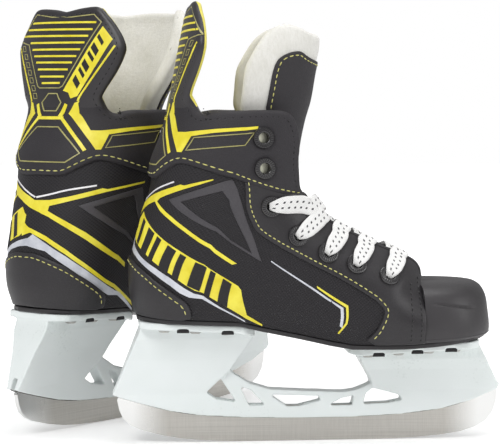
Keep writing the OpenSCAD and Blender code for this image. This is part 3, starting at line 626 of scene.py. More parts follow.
def steel_mat(side):
    turn, move = (0, (0, 0, 0)) if side == "right" else (-TURN, (0, 0, 0))
    M = Mat("steel_runner_" + side, Metallic=1.0)
    if side == "right":
        here = M.vec("Object")
    else:
        c, s = math.cos(TURN), math.sin(TURN)
        # the runner's own x: turned back and moved to its middle
        here = M.vec("Object", turn=-TURN, move=(-(-0.082 * c + 0.089 * s), 0, 0))
    X, Y, Z = M.split(here)[:3]
    ax = M.math("ABSOLUTE", X)
    ends = M.range(ax, 0.074, 0.092, 0, 1)
    lines = M.noise(1.0, 5, 0.6, M.vec("Object", (12, 12, 4200)))
    cross = M.noise(1.0, 4, 0.6, M.node("Mapping", Vector=here, Scale=(2600, 300, 90)).outputs[0])
    brush = M.mix(M.range(X, 0.03, 0.05, 0, 1), lines, lines)
    grain = M.add(M.mul(lines, 0.7), M.mul(cross, 0.3))
    col = M.mix(M.range(grain, 0.3, 0.7, 0, 1), (0.44, 0.42, 0.39), (0.66, 0.64, 0.60))
    M.put(M.b, "Base Color", M.mix(ends, col, (0.80, 0.80, 0.79)))
    M.put(M.b, "Roughness", M.range(M.add(grain, M.mul(ends, -0.9)), -0.5, 0.8, 0.12, 0.46))
    M.bump(M.mul(M.mul(grain, 0.03), M.range(ends, 0, 1, 1, 0.15)))
    return M.m


def fastener(name):
    M = Mat(name, Metallic=1.0)
    a = M.noise(1500, 4)
    M.put(M.b, "Base Color", M.mix(a, (0.38, 0.37, 0.35), (0.6, 0.59, 0.57)))
    M.put(M.b, "Roughness", M.range(a, 0.3, 0.7, 0.25, 0.45))
    M.bump(M.mul(a, 0.02))
    return M.m


def lace_mat():
    """Flat woven lace: the weave along it, and two rows of dark flecks."""
    M = Mat("lace_weave", Specular_IOR_Level=0.25, Sheen_Weight=0.2, Roughness=0.85)
    U = M.split(M.co.outputs["UV"])
    across, along = U[0], U[1]
    rib = M.math("SINE", M.mul(along, 7.0))
    rib2 = M.math("SINE", M.mul(across, 42.0))
    weave = M.mul(rib, rib2)
    row = M.math("ABSOLUTE", M.math("SUBTRACT", M.math("ABSOLUTE", M.math("SUBTRACT", across, 0.5)), 0.16))
    in_row = M.range(row, 0.045, 0.065, 1, 0)
    dash = M.range(M.math("SINE", M.add(M.mul(along, 1.65), M.mul(across, 7.0))), 0.45, 0.6, 0, 1)
    fleck = M.mul(in_row, dash)
    fuzz = M.noise(2200, 4)
    light = M.mix(M.range(M.add(weave, fuzz), -0.6, 1.4, 0, 1), (0.62, 0.61, 0.60), (0.90, 0.90, 0.89))
    M.put(M.b, "Base Color", M.mix(M.math("MINIMUM", fleck, 1.0), light, (0.03, 0.03, 0.035)))
    M.bump(M.add(M.mul(weave, 0.07), M.mul(fuzz, 0.08)))
    return M.m


SMOOTH = leather("leather_smooth", (0.019, 0.017, 0.019), (0.031, 0.029, 0.032), grain=1500, depth=0.04,
                 rough=(0.36, 0.52))
COLLAR = leather("collar_fabric", (0.018, 0.016, 0.019), (0.032, 0.029, 0.033), grain=1900, depth=0.10,
                 rough=(0.55, 0.75))
NET = net("quarter_net", (0.009, 0.008, 0.0095), (0.022, 0.020, 0.023))
EMBOSS = leather("emboss_grey", (0.050, 0.046, 0.052), (0.070, 0.066, 0.073), grain=1300, depth=0.05)
PATCH = net("patch_net", (0.009, 0.008, 0.0095), (0.022, 0.020, 0.023), pitch=1.0, depth=0.2)
DARK = leather("edge_dark", (0.010, 0.009, 0.010), (0.018, 0.016, 0.018), rough=(0.5, 0.7))
YELLOW = print_film("print_yellow", rgb("#ece04a"), rgb("#dccb22"))
GREY = print_film("print_grey", rgb("#d3d5dc"), rgb("#b9bcc6"), 0.34, 0.15)
WHITE = print_film("print_white", rgb("#f3f1f3"), rgb("#dddbe0"))
OLIVE = print_film("print_olive", rgb("#a8a268"), rgb("#8f8a52"))
GUARD = plastic("guard_black", (0.018, 0.016, 0.018), (0.030, 0.027, 0.030), (0.38, 0.52), 0.06, grain=1400)
LINING = felt("lining_fabric", (0.10, 0.095, 0.10), (0.055, 0.052, 0.056), 0.12)
BINDING = felt("guard_binding", rgb("#e6dc6a"), rgb("#cabd3e"), 0.12)
FELT = felt("tongue_felt", (0.80, 0.79, 0.76), (0.62, 0.61, 0.56))
TOE = plastic("toe_cap_plastic", (0.022, 0.020, 0.022), (0.033, 0.030, 0.033), (0.46, 0.58), 0.02, coat=0.05)
SOLEM = plastic("outsole_black", (0.016, 0.014, 0.016), (0.027, 0.025, 0.027), (0.38, 0.55), 0.05, grain=900)
HOLD = plastic("holder_white", (0.74, 0.79, 0.78), (0.79, 0.83, 0.83), (0.26, 0.36), 0.015, sub=0.12, coat=0.15)
EYE = plastic("eyelet_black", (0.012, 0.011, 0.012), (0.022, 0.020, 0.022), (0.16, 0.28), 0.02, coat=0.6, grain=2500)
# the tongue felt seen through the top eyelets, in a darker colour than the felt itself: painted shade of the eyelet's
# barrel
SHADED_EYELET_FELT = felt("eyelet_felt_painted_shade", (0.62, 0.62, 0.50), (0.46, 0.46, 0.36), 0.1)
JOINT = plastic("joint_shadow", (0.13, 0.12, 0.11), (0.10, 0.095, 0.09), (0.5, 0.6), 0.02)
LACE = lace_mat()
THREAD_Y = felt("thread_yellow", rgb("#ddd98a"), rgb("#a9a455"), 0.06)
THREAD_K = felt("thread_black", (0.012, 0.011, 0.012), (0.006, 0.006, 0.006), 0.05)
STEEL = {s: steel_mat(s) for s in SIDES}
SCREW = fastener("fastener_steel")
BOARD = plastic("fibre_board", (0.16, 0.11, 0.07), (0.22, 0.16, 0.10), (0.6, 0.8), 0.1)
FOOT = felt("footbed_fabric", (0.06, 0.06, 0.065), (0.03, 0.03, 0.034), 0.15)


# ---------------------------------------------------------------- pieces

def to_row(P, side):
    P = np.asarray(P, float)
    if side == "left":
        c, s = math.cos(TURN), math.sin(TURN)
        x, y = P[:, 0], -P[:, 1]
        P = np.stack([x * c - y * s - 82, x * s + y * c + 89, P[:, 2]], 1)
    return P * 0.001


MADE = {}


def piece(name, mesh, mats, body="skate", replaces=(), sharp=None, blend=None, smooth_shade=True,
          left=None):
    """Makes the piece once for each skate. blend is (body, low z, high z) in skate millimetres; when it is given, the
    piece is baked in place and left unattached, and the body and heights in it are not used.
    """
    V, U = np.vstack(mesh.V), np.vstack(mesh.U)
    for side in SIDES:
        F = mesh.F if side == "right" else [f[::-1] for f in mesh.F]
        me = bpy.data.meshes.new(f"{side}_{name}")
        W = left(V) if left and side == "left" else V
        me.from_pydata(to_row(W, side).tolist(), [], F)
        uv = me.uv_layers.new(name="UVMap")
        loop = np.empty(len(me.loops), np.int32)
        me.loops.foreach_get("vertex_index", loop)
        uv.data.foreach_set("uv", U[loop].astype(np.float32).ravel())
        for m in mats:
            me.materials.append(m)
        me.polygons.foreach_set("material_index", np.array(mesh.M, np.int32))
        me.polygons.foreach_set("use_smooth", np.full(len(F), smooth_shade))
        me.update()
        if sharp is not None:
            me.set_sharp_from_angle(angle=math.radians(sharp))
        ob = bpy.data.objects.new(f"{side}_{name}", me)
        bpy.context.scene.collection.objects.link(ob)
        if blend:
            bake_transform(ob)
        else:
            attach(ob, f"{side}_{body}")
        if replaces:
            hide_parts(*[f"{side}_{r}" for r in replaces])
        MADE[f"{side}_{name}"] = ob


def puff(mesh, pin, cap, pressure=4.0):
    """Swells a padded piece as cloth: pinned where it is sewn, moved at most cap millimetres."""
    V = np.vstack(mesh.V)
    me = bpy.data.meshes.new("puff")
    me.from_pydata((V * 0.001).tolist(), [], mesh.F)
    ob = bpy.data.objects.new("puff", me)
    sc = bpy.context.scene
    sc.collection.objects.link(ob)
    vg = ob.vertex_groups.new(name="pin")
    vg.add([int(i) for i in np.nonzero(pin)[0]], 1.0, "REPLACE")
    c = ob.modifiers.new("cloth", "CLOTH")
    st = c.settings
    st.quality, st.mass = 6, 0.3
    st.tension_stiffness, st.compression_stiffness, st.shear_stiffness, st.bending_stiffness = 12, 12, 5, 0.5
    st.vertex_group_mass = "pin"
    st.use_pressure, st.uniform_pressure_force = True, pressure
    st.effector_weights.gravity = 0
    c.point_cache.frame_start, c.point_cache.frame_end = 1, 20
    for f in range(1, 21):
        sc.frame_set(f)
    ev = ob.evaluated_get(bpy.context.evaluated_depsgraph_get())
    out = np.empty(len(V) * 3)
    ev.data.vertices.foreach_get("co", out)
    D = out.reshape(-1, 3) * 1000 - V
    L = np.linalg.norm(D, axis=1)
    print("puff", float(L.mean()), float(L.max()))
    D = np.where(np.isfinite(L)[:, None], D, 0)
    L = np.where(np.isfinite(L), L, 0)
    D *= (cap * np.tanh(L / cap) / np.maximum(L, 1e-6))[:, None]
    mesh.V = [V + D]
    sc.frame_set(1)
    bpy.data.objects.remove(ob)
    bpy.data.meshes.remove(me)


LINE = (168, 186)          # heights between which the collar turns into the flexing guard
TFOLD = (126, 142)         # the same for the tongue

# ---- lines of the upper, in flat coordinates of the inner side (t above 0)
SEAM = np.vstack([[(0, 142.2), (9, 142.2), (12.5, 143.6), (19.3, 148.0), (23.5, 150), (27.5, 150.2)],
                  TX([(-58.1, 148.3), (-46, 144.6), (-37.9, 141.9), (-22.6, 136.3), (-7.3, 132.7)])])
SEAM = fair(SEAM, 5)
COLLAR_LOW = shift(SEAM, -2.6)
COLLAR_LOW[0, 0] = 0
FRONT = TX([(-5.2, 131.4), (-6.6, 136), (-7.7, 141.8), (-8.3, 149.4), (-7.8, 154.5), (-8.3, 163.1),
            (-9.6, 168), (-11.8, 171.8), (-15.5, 174), (-20.5, 174.7), (-32.7, 174.7), (-47.9, 173.8),
            (-56, 173)])
GUARD_EDGE = np.array([(31, 172.6), (28, 173.0), (26.1, 174.8), (25.7, 178), (26.2, 182), (28.4, 187),
                       (32.4, 195), (35.3, 203), (35.9, 208), (33.8, 213.6), (29.6, 220), (25.6, 225),
                       (22.5, 228.2), (18.5, 229.8), (9, 229.2), (0, 227.9)], float)
half = np.vstack([COLLAR_LOW, fair(np.vstack([FRONT, GUARD_EDGE]), 3)])
COLLAR_LOOP = np.vstack([half, (half[1:-1] * [-1, 1])[::-1]])


def unit_metric(t, z):
    p = boot0(np.array([t, t + .5, t]), np.array([z, z, z + .5]))
    return np.linalg.norm(p[1] - p[0]) * 2, np.linalg.norm(p[2] - p[0]) * 2


EYELETS = TX([(-27.1, 160.8), (-26.5, 145.7), (-23.0, 126.4), (-9.3, 111.2), (5.9, 102.1), (20.7, 95.9),
              (37.7, 89.6)])


def bore(i, r=3.0, sg=1, n=20):
    t, z = EYELETS[i]
    a, b = unit_metric(t, z)
    k = np.arange(n) / n * 2 * np.pi
    return np.stack([sg * t + r / a * np.cos(k), z + r / b * np.sin(k)], 1)


SEAM_SEGS = segments(np.vstack([COLLAR_LOW, (COLLAR_LOW * [-1, 1])[::-1]]))[:-1]
TOP_SEGS = list(zip(half[len(COLLAR_LOW) - 1:-1], half[len(COLLAR_LOW):]))
TOP_SEGS += [(a * [-1, 1], b * [-1, 1]) for a, b in TOP_SEGS]


def collar_rise(V, d):
    g = smooth((V[:, 1] - 176) / 10)
    soft = smooth(edge_dist(V, TOP_SEGS) / 9)
    roll = np.exp(-((edge_dist(V, TOP_SEGS) - 3.4) / 1.1) ** 2)
    return (1 - g) * (0.75 + 0.9 * soft - 0.35 * roll) + g * (0.85 + 0.25 * soft - 0.3 * roll)


def collar_top(V):
    """Height of the collar's and the guard's outer face, with the round of its edge."""
    V = np.atleast_2d(np.asarray(V, float))
    dt, ds = edge_dist(V, TOP_SEGS), edge_dist(V, SEAM_SEGS)
    fo = collar_rise(V, dt)
    fi = collar_in(V, dt)
    R = edge_r(V)
    d = np.minimum(dt, ds)
    q = np.clip(1 - d / R, 0, 1)
    mid = (fo + fi) / 2
    return mid + (fo - mid) * np.sqrt(np.maximum(0, 1 - q * q))


def collar_in(V, d):
    g = smooth((V[:, 1] - 176) / 10)
    return -5.2 * (1 - g) - 4.3 * g


def edge_r(V):
    near = smooth((edge_dist(V, SEAM_SEGS) - 1.5) / 3)
    return 1.1 * (1 - near) + 2.9 * near


def collar_mats(c, d, outer):
    g = c[:, 1] > 176
    e = edge_dist(c, TOP_SEGS)
    if outer:
        return np.where(g, 1, 0)
    return np.where(g, 2, 3)


mesh = pad([COLLAR_LOOP] + [bore(i, 3.0, s) for i in (0, 1) for s in (1, -1)], collar_rise, collar_in, edge_r,
           mats=collar_mats)
piece("collar_and_guard", mesh, [COLLAR, GUARD, BINDING, LINING],
      replaces=("ankle_collar", "tendon_guard", "guard_lining", "ankle_pads"), blend=("guard", *LINE))

# ---- quarters
LOW = TX([(x, float(sole_z(x)) + SOLE_T + 0.02) for x in (-80, -70, -56, -40, -33, -27, -16, -6, 6, 20, 34, 46)]
         + [(56.4, float(sole_z(56.4)) + SOLE_T + 0.02)])
LOW = np.vstack([[(0, 69.4), (6, 69.3), (12, 69.0)], LOW])
LOW = LOW[np.argsort(LOW[:, 0])]
THROAT = fair(TX([(58, 88.5), (57.2, 93), (54, 97), (46, 101), (34, 106), (20, 112.6), (8, 119.5),
                  (-1.5, 129.4), (-4.6, 133)]), 4)
under = shift(SEAM, -0.6)[::-1]
under = under[under[:, 0] < THROAT[-1, 0] - 1]
under[-1, 0] = 0
QUARTER = np.vstack([LOW, [TX([(56.6, 72)])[0]], THROAT, under])
heel_line = lambda p: abs(p[0]) < 0.05
for sg, nm in ((-1, "lateral"), (1, "medial")):
    loop = QUARTER if sg > 0 else flip(QUARTER)
    mesh = sheet([loop] + [bore(i, 3.0, sg) for i in range(2, 7)], -5.2, 0.0, 0.6, h=2.3, back=False,
                 free=heel_line, wall=1)
    piece(f"{nm}_shell", mesh, [NET, DARK], replaces=(f"{nm}_quarter",), sharp=50)

# ---- heel counter
C_EDGE = fair([(0, 98.4), (5, 98.3), (12, 95.9), (20.5, 92), (27, 87.9), (33, 83.9), (38, 79.9), (40.7, 77.3),
               (42, 73.8), (42.2, 69.2)], 4)
C_STITCH = fair([(0, 96.2), (4, 96.2), (10.3, 94.3), (19.6, 90), (26, 85.9), (31.4, 82.1), (36, 78.6),
                 (38.5, 76.3), (39.8, 73.3), (40, 69.6)], 4)
low_c = np.array([p for p in resample(LOW, 3, closed=False) if p[0] < 41])
hc = np.vstack([C_EDGE, (low_c + [0, 0.35])[::-1]])
hc = np.vstack([hc, (hc[1:-1] * [-1, 1])[::-1]])
mesh = sheet([hc], 0.0, lambda V: 1.5 + 0.4 * smooth((90 - V[:, 1]) / 18), 0.7, h=2.4, back=False)
piece("counter_overlay", mesh, [SMOOTH], replaces=("heel_counter",), sharp=60)

# ---- eyestays
STAY = fair(TX([(-34.6, 139.5), (-33.6, 128.5), (-30, 118.3), (-26.6, 114), (-18, 108.4), (-7.7, 102.5),
                (12.7, 91.6), (28, 82.4), (33.2, 78.4), (36.6, 74), (36, 68.6), (33.2, 62.6), (28.3, 56.6)]), 4)
STAY_EDGE = shift(STAY, -2.0)
lowx = np.array([p for p in resample(LOW, 3, closed=False) if p[0] > STAY_EDGE[-1, 0] + 2])
stay_top = THROAT + [-0.3, -0.35]
stay = np.vstack([STAY_EDGE, lowx + [0, 0.3], [TX([(56.6, 72)])[0]], stay_top,
                  TX([(-14, 133.4), (-24, 136.6)])])
for sg, nm in ((-1, "lateral"), (1, "medial")):
    loop = stay if sg > 0 else flip(stay)
    mesh = sheet([loop] + [bore(i, 3.0, sg) for i in range(2, 7)], -0.4, 1.35, 0.75, h=2.2, back=False)
    piece(f"{nm}_eyestay_overlay", mesh, [SMOOTH], replaces=(f"{nm}_eyestay",), sharp=60)

# ---- embossed triangle on each side, with its net panel
TRI_O = np.array([(22.6, 129.4), (27.7, 131.8), (38.9, 136.9), (45.6, 140.2), (50.8, 131.5), (75.2, 98.1),
                  (55.2, 108.2), (40.2, 117.4), (30.3, 123.8)])
TRI_I = np.array([(29, 128.6), (36.1, 131.5), (43.4, 134.3), (47.8, 127), (68.4, 102.6), (54.6, 109.6),
                  (39.4, 120.8)])
emb = Mesh()
TRI_M = np.array([(20.6, 123.9), (27, 126.4), (37, 130), (46, 133), (50.5, 125.5), (73, 93), (54, 103), (39, 112),
                  (29, 118.4)])
TRI_MI = np.array([(27.5, 123.2), (36.1, 126.6), (43.6, 129), (47.6, 121.5), (66.6, 97.6), (53.4, 104.6), (38.6, 115.4)])
for sg in (1, -1):
    o, i = (TRI_M, TRI_MI) if sg > 0 else (flip(TRI_O), flip(TRI_I))
    sheet([o, i], -0.2, 0.5, 0.4, h=1.6, hb=1.0, back=False, mesh=emb, m=0)
    sheet([i], -0.2, 0.12, 0.0, h=1.8, hb=1.2, back=False, mesh=emb, m=1)
piece("embossed_panels", emb, [EMBOSS, PATCH], sharp=60)

# ---- printed graphics on the shell: (finish, flat outlines)
film = 0.16


def decals(items, base, mats, h=2.0):
    """base is the height of the face that carries the print."""
    out = Mesh()
    f = base if callable(base) else (lambda V: np.full(len(V), float(base)))
    for m, loops in items:
        sheet(loops, lambda V: f(V) - 0.12, lambda V: f(V) + film, 0.0, h=h, hb=1.0, back=False, mesh=out, m=m)
    return out


def slashes(c0, c1, w, n, lean, fill=0.55, trim=1.6):
    """Slanted bars across a band between two points, w wide."""
    c0, c1 = np.array(c0, float), np.array(c1, float)
    d = (c1 - c0) / np.linalg.norm(c1 - c0)
    s = np.array([-d[1], d[0]])
    L = np.linalg.norm(c1 - c0)
    out = []
    for k in range(n):
        a, b = L * k / n, L * (k + fill * (1.25 if k % 2 else 0.75)) / n
        hw = w / 2 - trim
        out.append([np.array([c0 + d * (a + lean) + s * hw, c0 + d * (b + lean) + s * hw,
                              c0 + d * (b - lean) - s * hw, c0 + d * (a - lean) - s * hw])])
    return out


shell = []
# yellow V round the heel and the lines that run down from it
shell.append((0, [np.array([(0, 126.3), (-3.7, 128.5), (-11.9, 132), (-16.9, 133.8), (-22.2, 135.6), (-26.6, 137.3),
                            (-28.5, 136.9), (-35, 138.9), (-39.7, 140.3), (-39.7, 139.7), (-35.1, 137.6),
                            (-27, 134.4), (-20.2, 131.6), (-16.9, 130), (-15.5, 128.4), (-21.4, 124.7), (-27.7, 120.8),
                            (-34.9, 115.6), (-41.9, 110.1), (-49.3, 104.7), (-58.1, 99.9), (-62.6, 97.4),
                            (-60.4, 96.8), (-49.9, 102.6), (-42.3, 108.0), (-34.7, 113.9), (-26.9, 119.4),
                            (-19.7, 123.9), (-13.9, 128.2), (-7.9, 125.9), (0, 121.6)])]))
shell.append((0, [np.array([(0, 126.3), (0, 121.6), (5.2, 119.2), (8.3, 117.9), (17.8, 112.4), (28.2, 106.1),
                            (39.6, 98.6), (52.2, 90), (51.9, 92.6), (38.9, 101.9), (27.4, 109.8), (17.2, 115.7),
                            (7.4, 121), (7.4, 123.6), (15, 126), (30.8, 131.2), (46.8, 135.3), (46.8, 136.3),
                            (30.8, 132.6), (28.5, 133.1), (22.5, 131.1), (14.4, 128.5), (6.9, 126.7)][::-1])]))
shell.append((2, stroke(fair([(-23.3, 138.6), (-13, 134.6), (-6.5, 131.3), (-0.2, 127.9)], 4), 0.75)))
shell.append((2, stroke(fair([(0.2, 127.9), (6.9, 129.9), (14, 132.2), (25.8, 134.6)], 4), 0.9)))
# broad band of the outer side
BAND = np.array([(-3.2, 117.9), (-4.4, 120.4), (-5.9, 122.4), (-14.1, 117.5), (-20.9, 112.9), (-27.7, 108.6), (-36, 103.7),
                 (-42.9, 99.2), (-49.7, 94.6), (-57.9, 89.9), (-64.9, 85.8), (-66.6, 83.7), (-68.9, 70.4),
                 (-77.4, 65.2), (-77.2, 64.4), (-68.7, 68.5), (-58.3, 75.4), (-47.4, 82.3), (-44.3, 83.5),
                 (-40.4, 86.4), (-33.6, 91.9), (-25.6, 97.2), (-18.1, 101.8), (-9.4, 105.5), (-5.2, 107),
                 (-3, 109.2), (-2.9, 113)])
shell.append((0, [BAND[::-1]]))
# lines of the inner side
shell.append((0, [np.array([(-5.4, 120.8), (-2.6, 118.4), (-2.8, 114), (-0.4, 111.9), (9, 107.8), (20, 101.2),
                            (30.3, 93.5), (41.1, 84.8), (49.7, 79), (66.1, 67.1), (69, 64), (48.4, 77.6),
                            (41.2, 82.6), (30.4, 90.9), (20.3, 98.5), (9.4, 105.2), (0.6, 109.2),
                            (-3.4, 107.2)][::-1])]))
# pale band above the counter
shell.append((1, [np.array([(0, 106.2), (-5.5, 104.4), (-10.5, 102.3), (-17.5, 98.8), (-25.8, 94.7), (-33.6, 89.9),
                            (-40.4, 84.5), (-44, 82), (-47.5, 80.8), (-55.7, 74.8), (-68.3, 67.2), (-68.5, 66.5),
                            (-55.6, 73.8), (-47, 79.2), (-42.1, 80), (-38.4, 82.1), (-33.8, 86), (-25.9, 91.3),
                            (-17.9, 95.9), (-10.6, 99.5), (-4, 101.6), (0, 102.2)])]))
shell.append((1, [np.array([(0, 106.2), (0, 102.2), (6, 100.8), (10.3, 99.9), (25.6, 89), (36, 81), (43.9, 75.4),
                            (49.6, 74.8), (64.1, 65.1), (64, 66.3), (50.8, 76.6), (47, 77.7), (41.3, 82), (30.5, 90.3),
                            (20.5, 97.5), (9.7, 104), (2, 108.4)][::-1])]))
# thin lines ahead of the band
GL = fair([(-79.6, 98.6), (-101.3, 85.3), (-112, 78)], 4)
shell.append((1, stroke(GL, 0.5, 1.0)))
shell.append((1, [np.array([(-112, 78.5), (-112.6, 77.2), (-116.4, 74), (-116.2, 65), (-117.6, 63.9), (-117.9, 74.6)])]))
shell.append((0, [np.array([(-104.6, 85.9), (-120.5, 75.7), (-119.9, 66.2), (-116.1, 60.7), (-115.4, 61.1),
                            (-118.9, 66.6), (-119.2, 74.8), (-104.9, 84.8)][::-1])]))
shell.append((1, stroke(fair([(79.6, 98.6), (101.3, 85.3), (112, 78)], 4), 0.5, 1.0)))
piece("shell_print", decals(shell, 0.0, None), [YELLOW, GREY, WHITE], sharp=60)
bars = [(0, s) for s in slashes((-8.2, 113.2), (-62.5, 79.6), 14.6, 8, 2.2)]
piece("band_bars", decals(bars, film, None), [DARK], sharp=60)

# ---- print on the collar and guard
cg = []
cg += [(0, stroke([a, b], 1.05)) for a, b in zip(
    [(-22.7, 222), (-27.1, 218.4), (-31.2, 215), (-22.3, 211), (-19.7, 207.3), (-17.4, 203.7), (-15.2, 200.2),
     (-13, 196.4), (-10.8, 192.5), (-8.8, 188.9)],
    [(20.7, 221.2), (19.2, 217.4), (17.3, 213.9), (15.7, 210.4), (13.8, 206.8), (12, 203.2), (9.9, 199.8),
     (7.8, 196.1), (6, 192.3), (3.8, 188.9)])]
cg.append((1, stroke([(-19.5, 226.8), (-8.4, 224.9), (5.6, 224.4), (19.2, 225.5), (23.3, 221.3), (5.9, 187.4),
                      (3.9, 186.2), (-10.1, 186.3), (-11.8, 187.4), (-23.6, 210), (-34.4, 212.4)], 0.55, close=True)))
cg.append((0, [np.array([(24.3, 219), (30, 211.9), (15.1, 181.9), (11.5, 180.6), (9.9, 183.6), (6.5, 184.7)][::-1])]))
for s in (1, -1):
    m = lambda P: np.asarray(P, float) * [s, 1]
    cg.append((0, stroke(m([(31.5 if s > 0 else 33, 208.6), (15, 179.4)]), 0.95)))
    e = (60, 165.7) if s > 0 else (52, 165.3)
    P = m([(15.9, 179.5), (13.1, 178.3), (8.7, 172.4), (22.8, 153.2), (25, 153.2), (26.9, 161.3), (36, 163.2),
           (46, 164.5), e, (e[0], e[1] + 1.3), (46, 166.1), (36, 165.1), (23.5, 163.3), (19.2, 163.3), (13.6, 172.6),
           (14.8, 178)])
    cg.append((0, [P if s < 0 else P[::-1]]))
    cg.append((0, stroke(m([(8.6, 177.6), (4.6, 170.6)]), 1.5, 1.9)))
    cg.append((0, stroke(m([(5.6, 169.8), (18.6, 152.6)]), 1.5, 1.5)))
    cg.append((1, stroke(m([(26.6, 154.2), (28.3, 160.6), (50.6, 163.4), (47.4, 157.2)]), 0.5, close=True)))
cg.append((0, stroke([(-6.4, 169.9), (6.4, 169.9)], 1.7)))
cg.append((1, stroke([(-2.9, 183.2), (2.9, 183.2), (5.9, 178.4), (2.9, 173.9), (-2.9, 173.9), (-5.9, 178.4)], 0.6,
                     close=True)))
cg.append((1, stroke([(-4.9, 165), (4.9, 165), (16.8, 151.2), (11.5, 146.6), (-11.5, 146.6), (-16.8, 151.2)], 0.6,
                     close=True)))
for t, z in ((-27.9, 208), (-25, 203.6), (-22.3, 199), (-19.8, 194.8), (-17.4, 190.5), (-15, 186.2), (-12.6, 182)):
    cg.append((1, stroke([(t - 2.2, z + 1.4), (t + .6, z + 1.4), (t + 2, z - 1.4), (t - .8, z - 1.4)], 0.4, close=True)))
piece("guard_print", decals(cg, collar_top, None, h=1.6), [YELLOW, OLIVE], sharp=60,
      blend=("guard", *LINE))
bars = [(0, s) for s in slashes((24.6, 212.6), (12.4, 186.6), 7.2, 6, 1.4, trim=1.3)]
piece("guard_bars", decals(bars, lambda V: collar_top(V) + film, None, h=1.6), [DARK], sharp=60,
      blend=("guard", *LINE))

# ---- stitching
rim = fair(np.vstack([FRONT[1:], GUARD_EDGE]), 3)
rim = shift(rim, 3.3)
both = lambda P: [P, np.asarray(P) * [-1, 1]]
piece("collar_stitching", stitches(both(SEAM), collar_top), [THREAD_Y], blend=("guard", *LINE))
piece("rim_stitching", stitches(both(rim), lambda V: collar_top(V), pitch=2.9, length=1.7, width=0.75), [THREAD_K],
      blend=("guard", *LINE))
ys = stitches(both(C_STITCH), lambda V: 1.5 + 0.4 * smooth((90 - V[:, 1]) / 18))
ST = np.array([p for p in STAY if p[1] > 58])
stitches(both(ST), 1.35, mesh=ys)
piece("shell_stitching", ys, [THREAD_Y])
rows = [TX([(x, z) for z in np.linspace(56.5, 89.5 - 0.3 * (54 - x), 12)]) for x in (49, 54)]
ks = stitches([q for r in rows for q in both(r)], 1.35, pitch=2.5, length=1.7, width=0.7)
piece("vamp_stitching", ks, [THREAD_K])
gro = Mesh()
for q in both(shift(THROAT, 1.7)[1:-2]):
    loops = stroke(q, 0.55)
    sheet(loops, 1.1, 1.42, 0.0, h=2, hb=1.2, back=False, mesh=gro)
piece("throat_groove", gro, [DARK])

# ---- liner
L_LOW = TX([(x, float(sole_z(x)) + SOLE_T + 3.3) for x in (-80, -70, -56, -40, -27, -16, -6, 6, 20, 34, 46)])
L_LOW = np.vstack([[(0, 74), (7, 73.5)], L_LOW[np.argsort(L_LOW[:, 0])]])
L_UP = TX([(46.5, 95.6), (42.5, 96), (30.5, 101), (16.5, 107.6), (4.5, 114.5), (-5, 124.6), (-9, 131), (-9.6, 141),
           (-10, 150), (-10, 160), (-12, 168.6), (-22, 172.6), (-33, 173), (-48, 172), (-60, 171)])
lh = np.vstack([L_LOW, fair(L_UP, 3), [(0, 171)]])
liner = np.vstack([lh, (lh[1:-1] * [-1, 1])[::-1]])
mesh = pad([liner] + [bore(i, 3.4, s) for i in range(7) for s in (1, -1)], lambda V, d: -5.25 + 0 * d,
           lambda V, d: -6.7 - 0.5 * smooth(d / 10), 0.7, h=4, hb=2.0)
piece("inner_lining", mesh, [LINING], replaces=("liner",))

# ---- toe cap
CAP = [(0, 56.2, 38.6, 35), (0.12, 58.3, 39.7, 36.8), (0.26, 63, 39.8, 37.8), (0.42, 70, 39.0, 37.2),
       (0.57, 76.5, 38.1, 35), (0.7, 81.0, 36.2, 31.6), (0.81, 83.7, 33.6, 26.5), (0.91, 84.9, 29, 19), (1, 85.2, 14, 8)]
cap_k = lambda t, k: crv([(c[0], c[k]) for c in CAP], t)


def cap(o, na=84, nt_=110):
    rows = []
    for a in np.linspace(-90, 90, na + 1):
        ca, sa = math.cos(math.radians(a)), math.sin(math.radians(a))
        t = np.linspace(0, 1, nt_ + 1)
        n = np.stack([ca * cap_k(t, 3), sa * cap_k(t, 2), 0 * t], 1)
        n /= np.linalg.norm(n, axis=1, keepdims=True)
        n[:, 2] = t ** 2.2 * 1.2
        n /= np.linalg.norm(n, axis=1, keepdims=True)
        P = np.stack([56.6 + cap_k(t, 2) * abs(ca) ** (2 / 2.3), np.sign(sa) * cap_k(t, 3) * abs(sa) ** (2 / 2.3),
                      cap_k(t, 1)], 1)
        # a shallow crease along each side and a lip at the sole
        zl = 75.6 - 0.13 * (P[:, 0] - 63)
        cre = 1.5 * np.exp(-((P[:, 2] - zl) / 0.5) ** 2) * smooth((86 - P[:, 0]) / 6) * smooth((P[:, 0] - 61) / 3)
        lip = smooth((58.2 - P[:, 2]) / 0.6) * 0.35
        low = np.clip((61 - P[:, 2]) / 5, 0, 1)
        P[:, 2] += low * (sole_z(P[:, 0]) + SOLE_T + 0.15 - 56.2)
        P = P + n * (o - 0.5 * cre + lip)[:, None]
        sp = np.array([56.6 + (1 - abs(sa)) * 8, 0.4 * sa, 85.4 + o])
        top = [P[-1] + (sp - P[-1]) * k + np.array([0, 0, 0.5 * math.sin(math.pi * k)]) for k in (0.25, .5, .75, 1.0)]
        rows.append(np.vstack([P, top]))
    return np.array(rows)


A, B = cap(0), cap(-2)
mesh = grid(A)
grid(B, mesh=mesh, turn=True)
n = A.shape[0] * A.shape[1]
nb = A.shape[1]
for j in range(nb - 1):                      # the open edge by the vamp
    for i in (0, A.shape[0] - 1):
        q = [i * nb + j, i * nb + j + 1, n + i * nb + j + 1, n + i * nb + j]
        mesh.F.append(q if i == 0 else q[::-1])
        mesh.M.append(0)
for i in range(A.shape[0] - 1):
    mesh.F.append([i * nb, n + i * nb, n + (i + 1) * nb, (i + 1) * nb])
    mesh.M.append(0)
piece("toe_shell", mesh, [TOE], replaces=("toe_cap",), sharp=50)

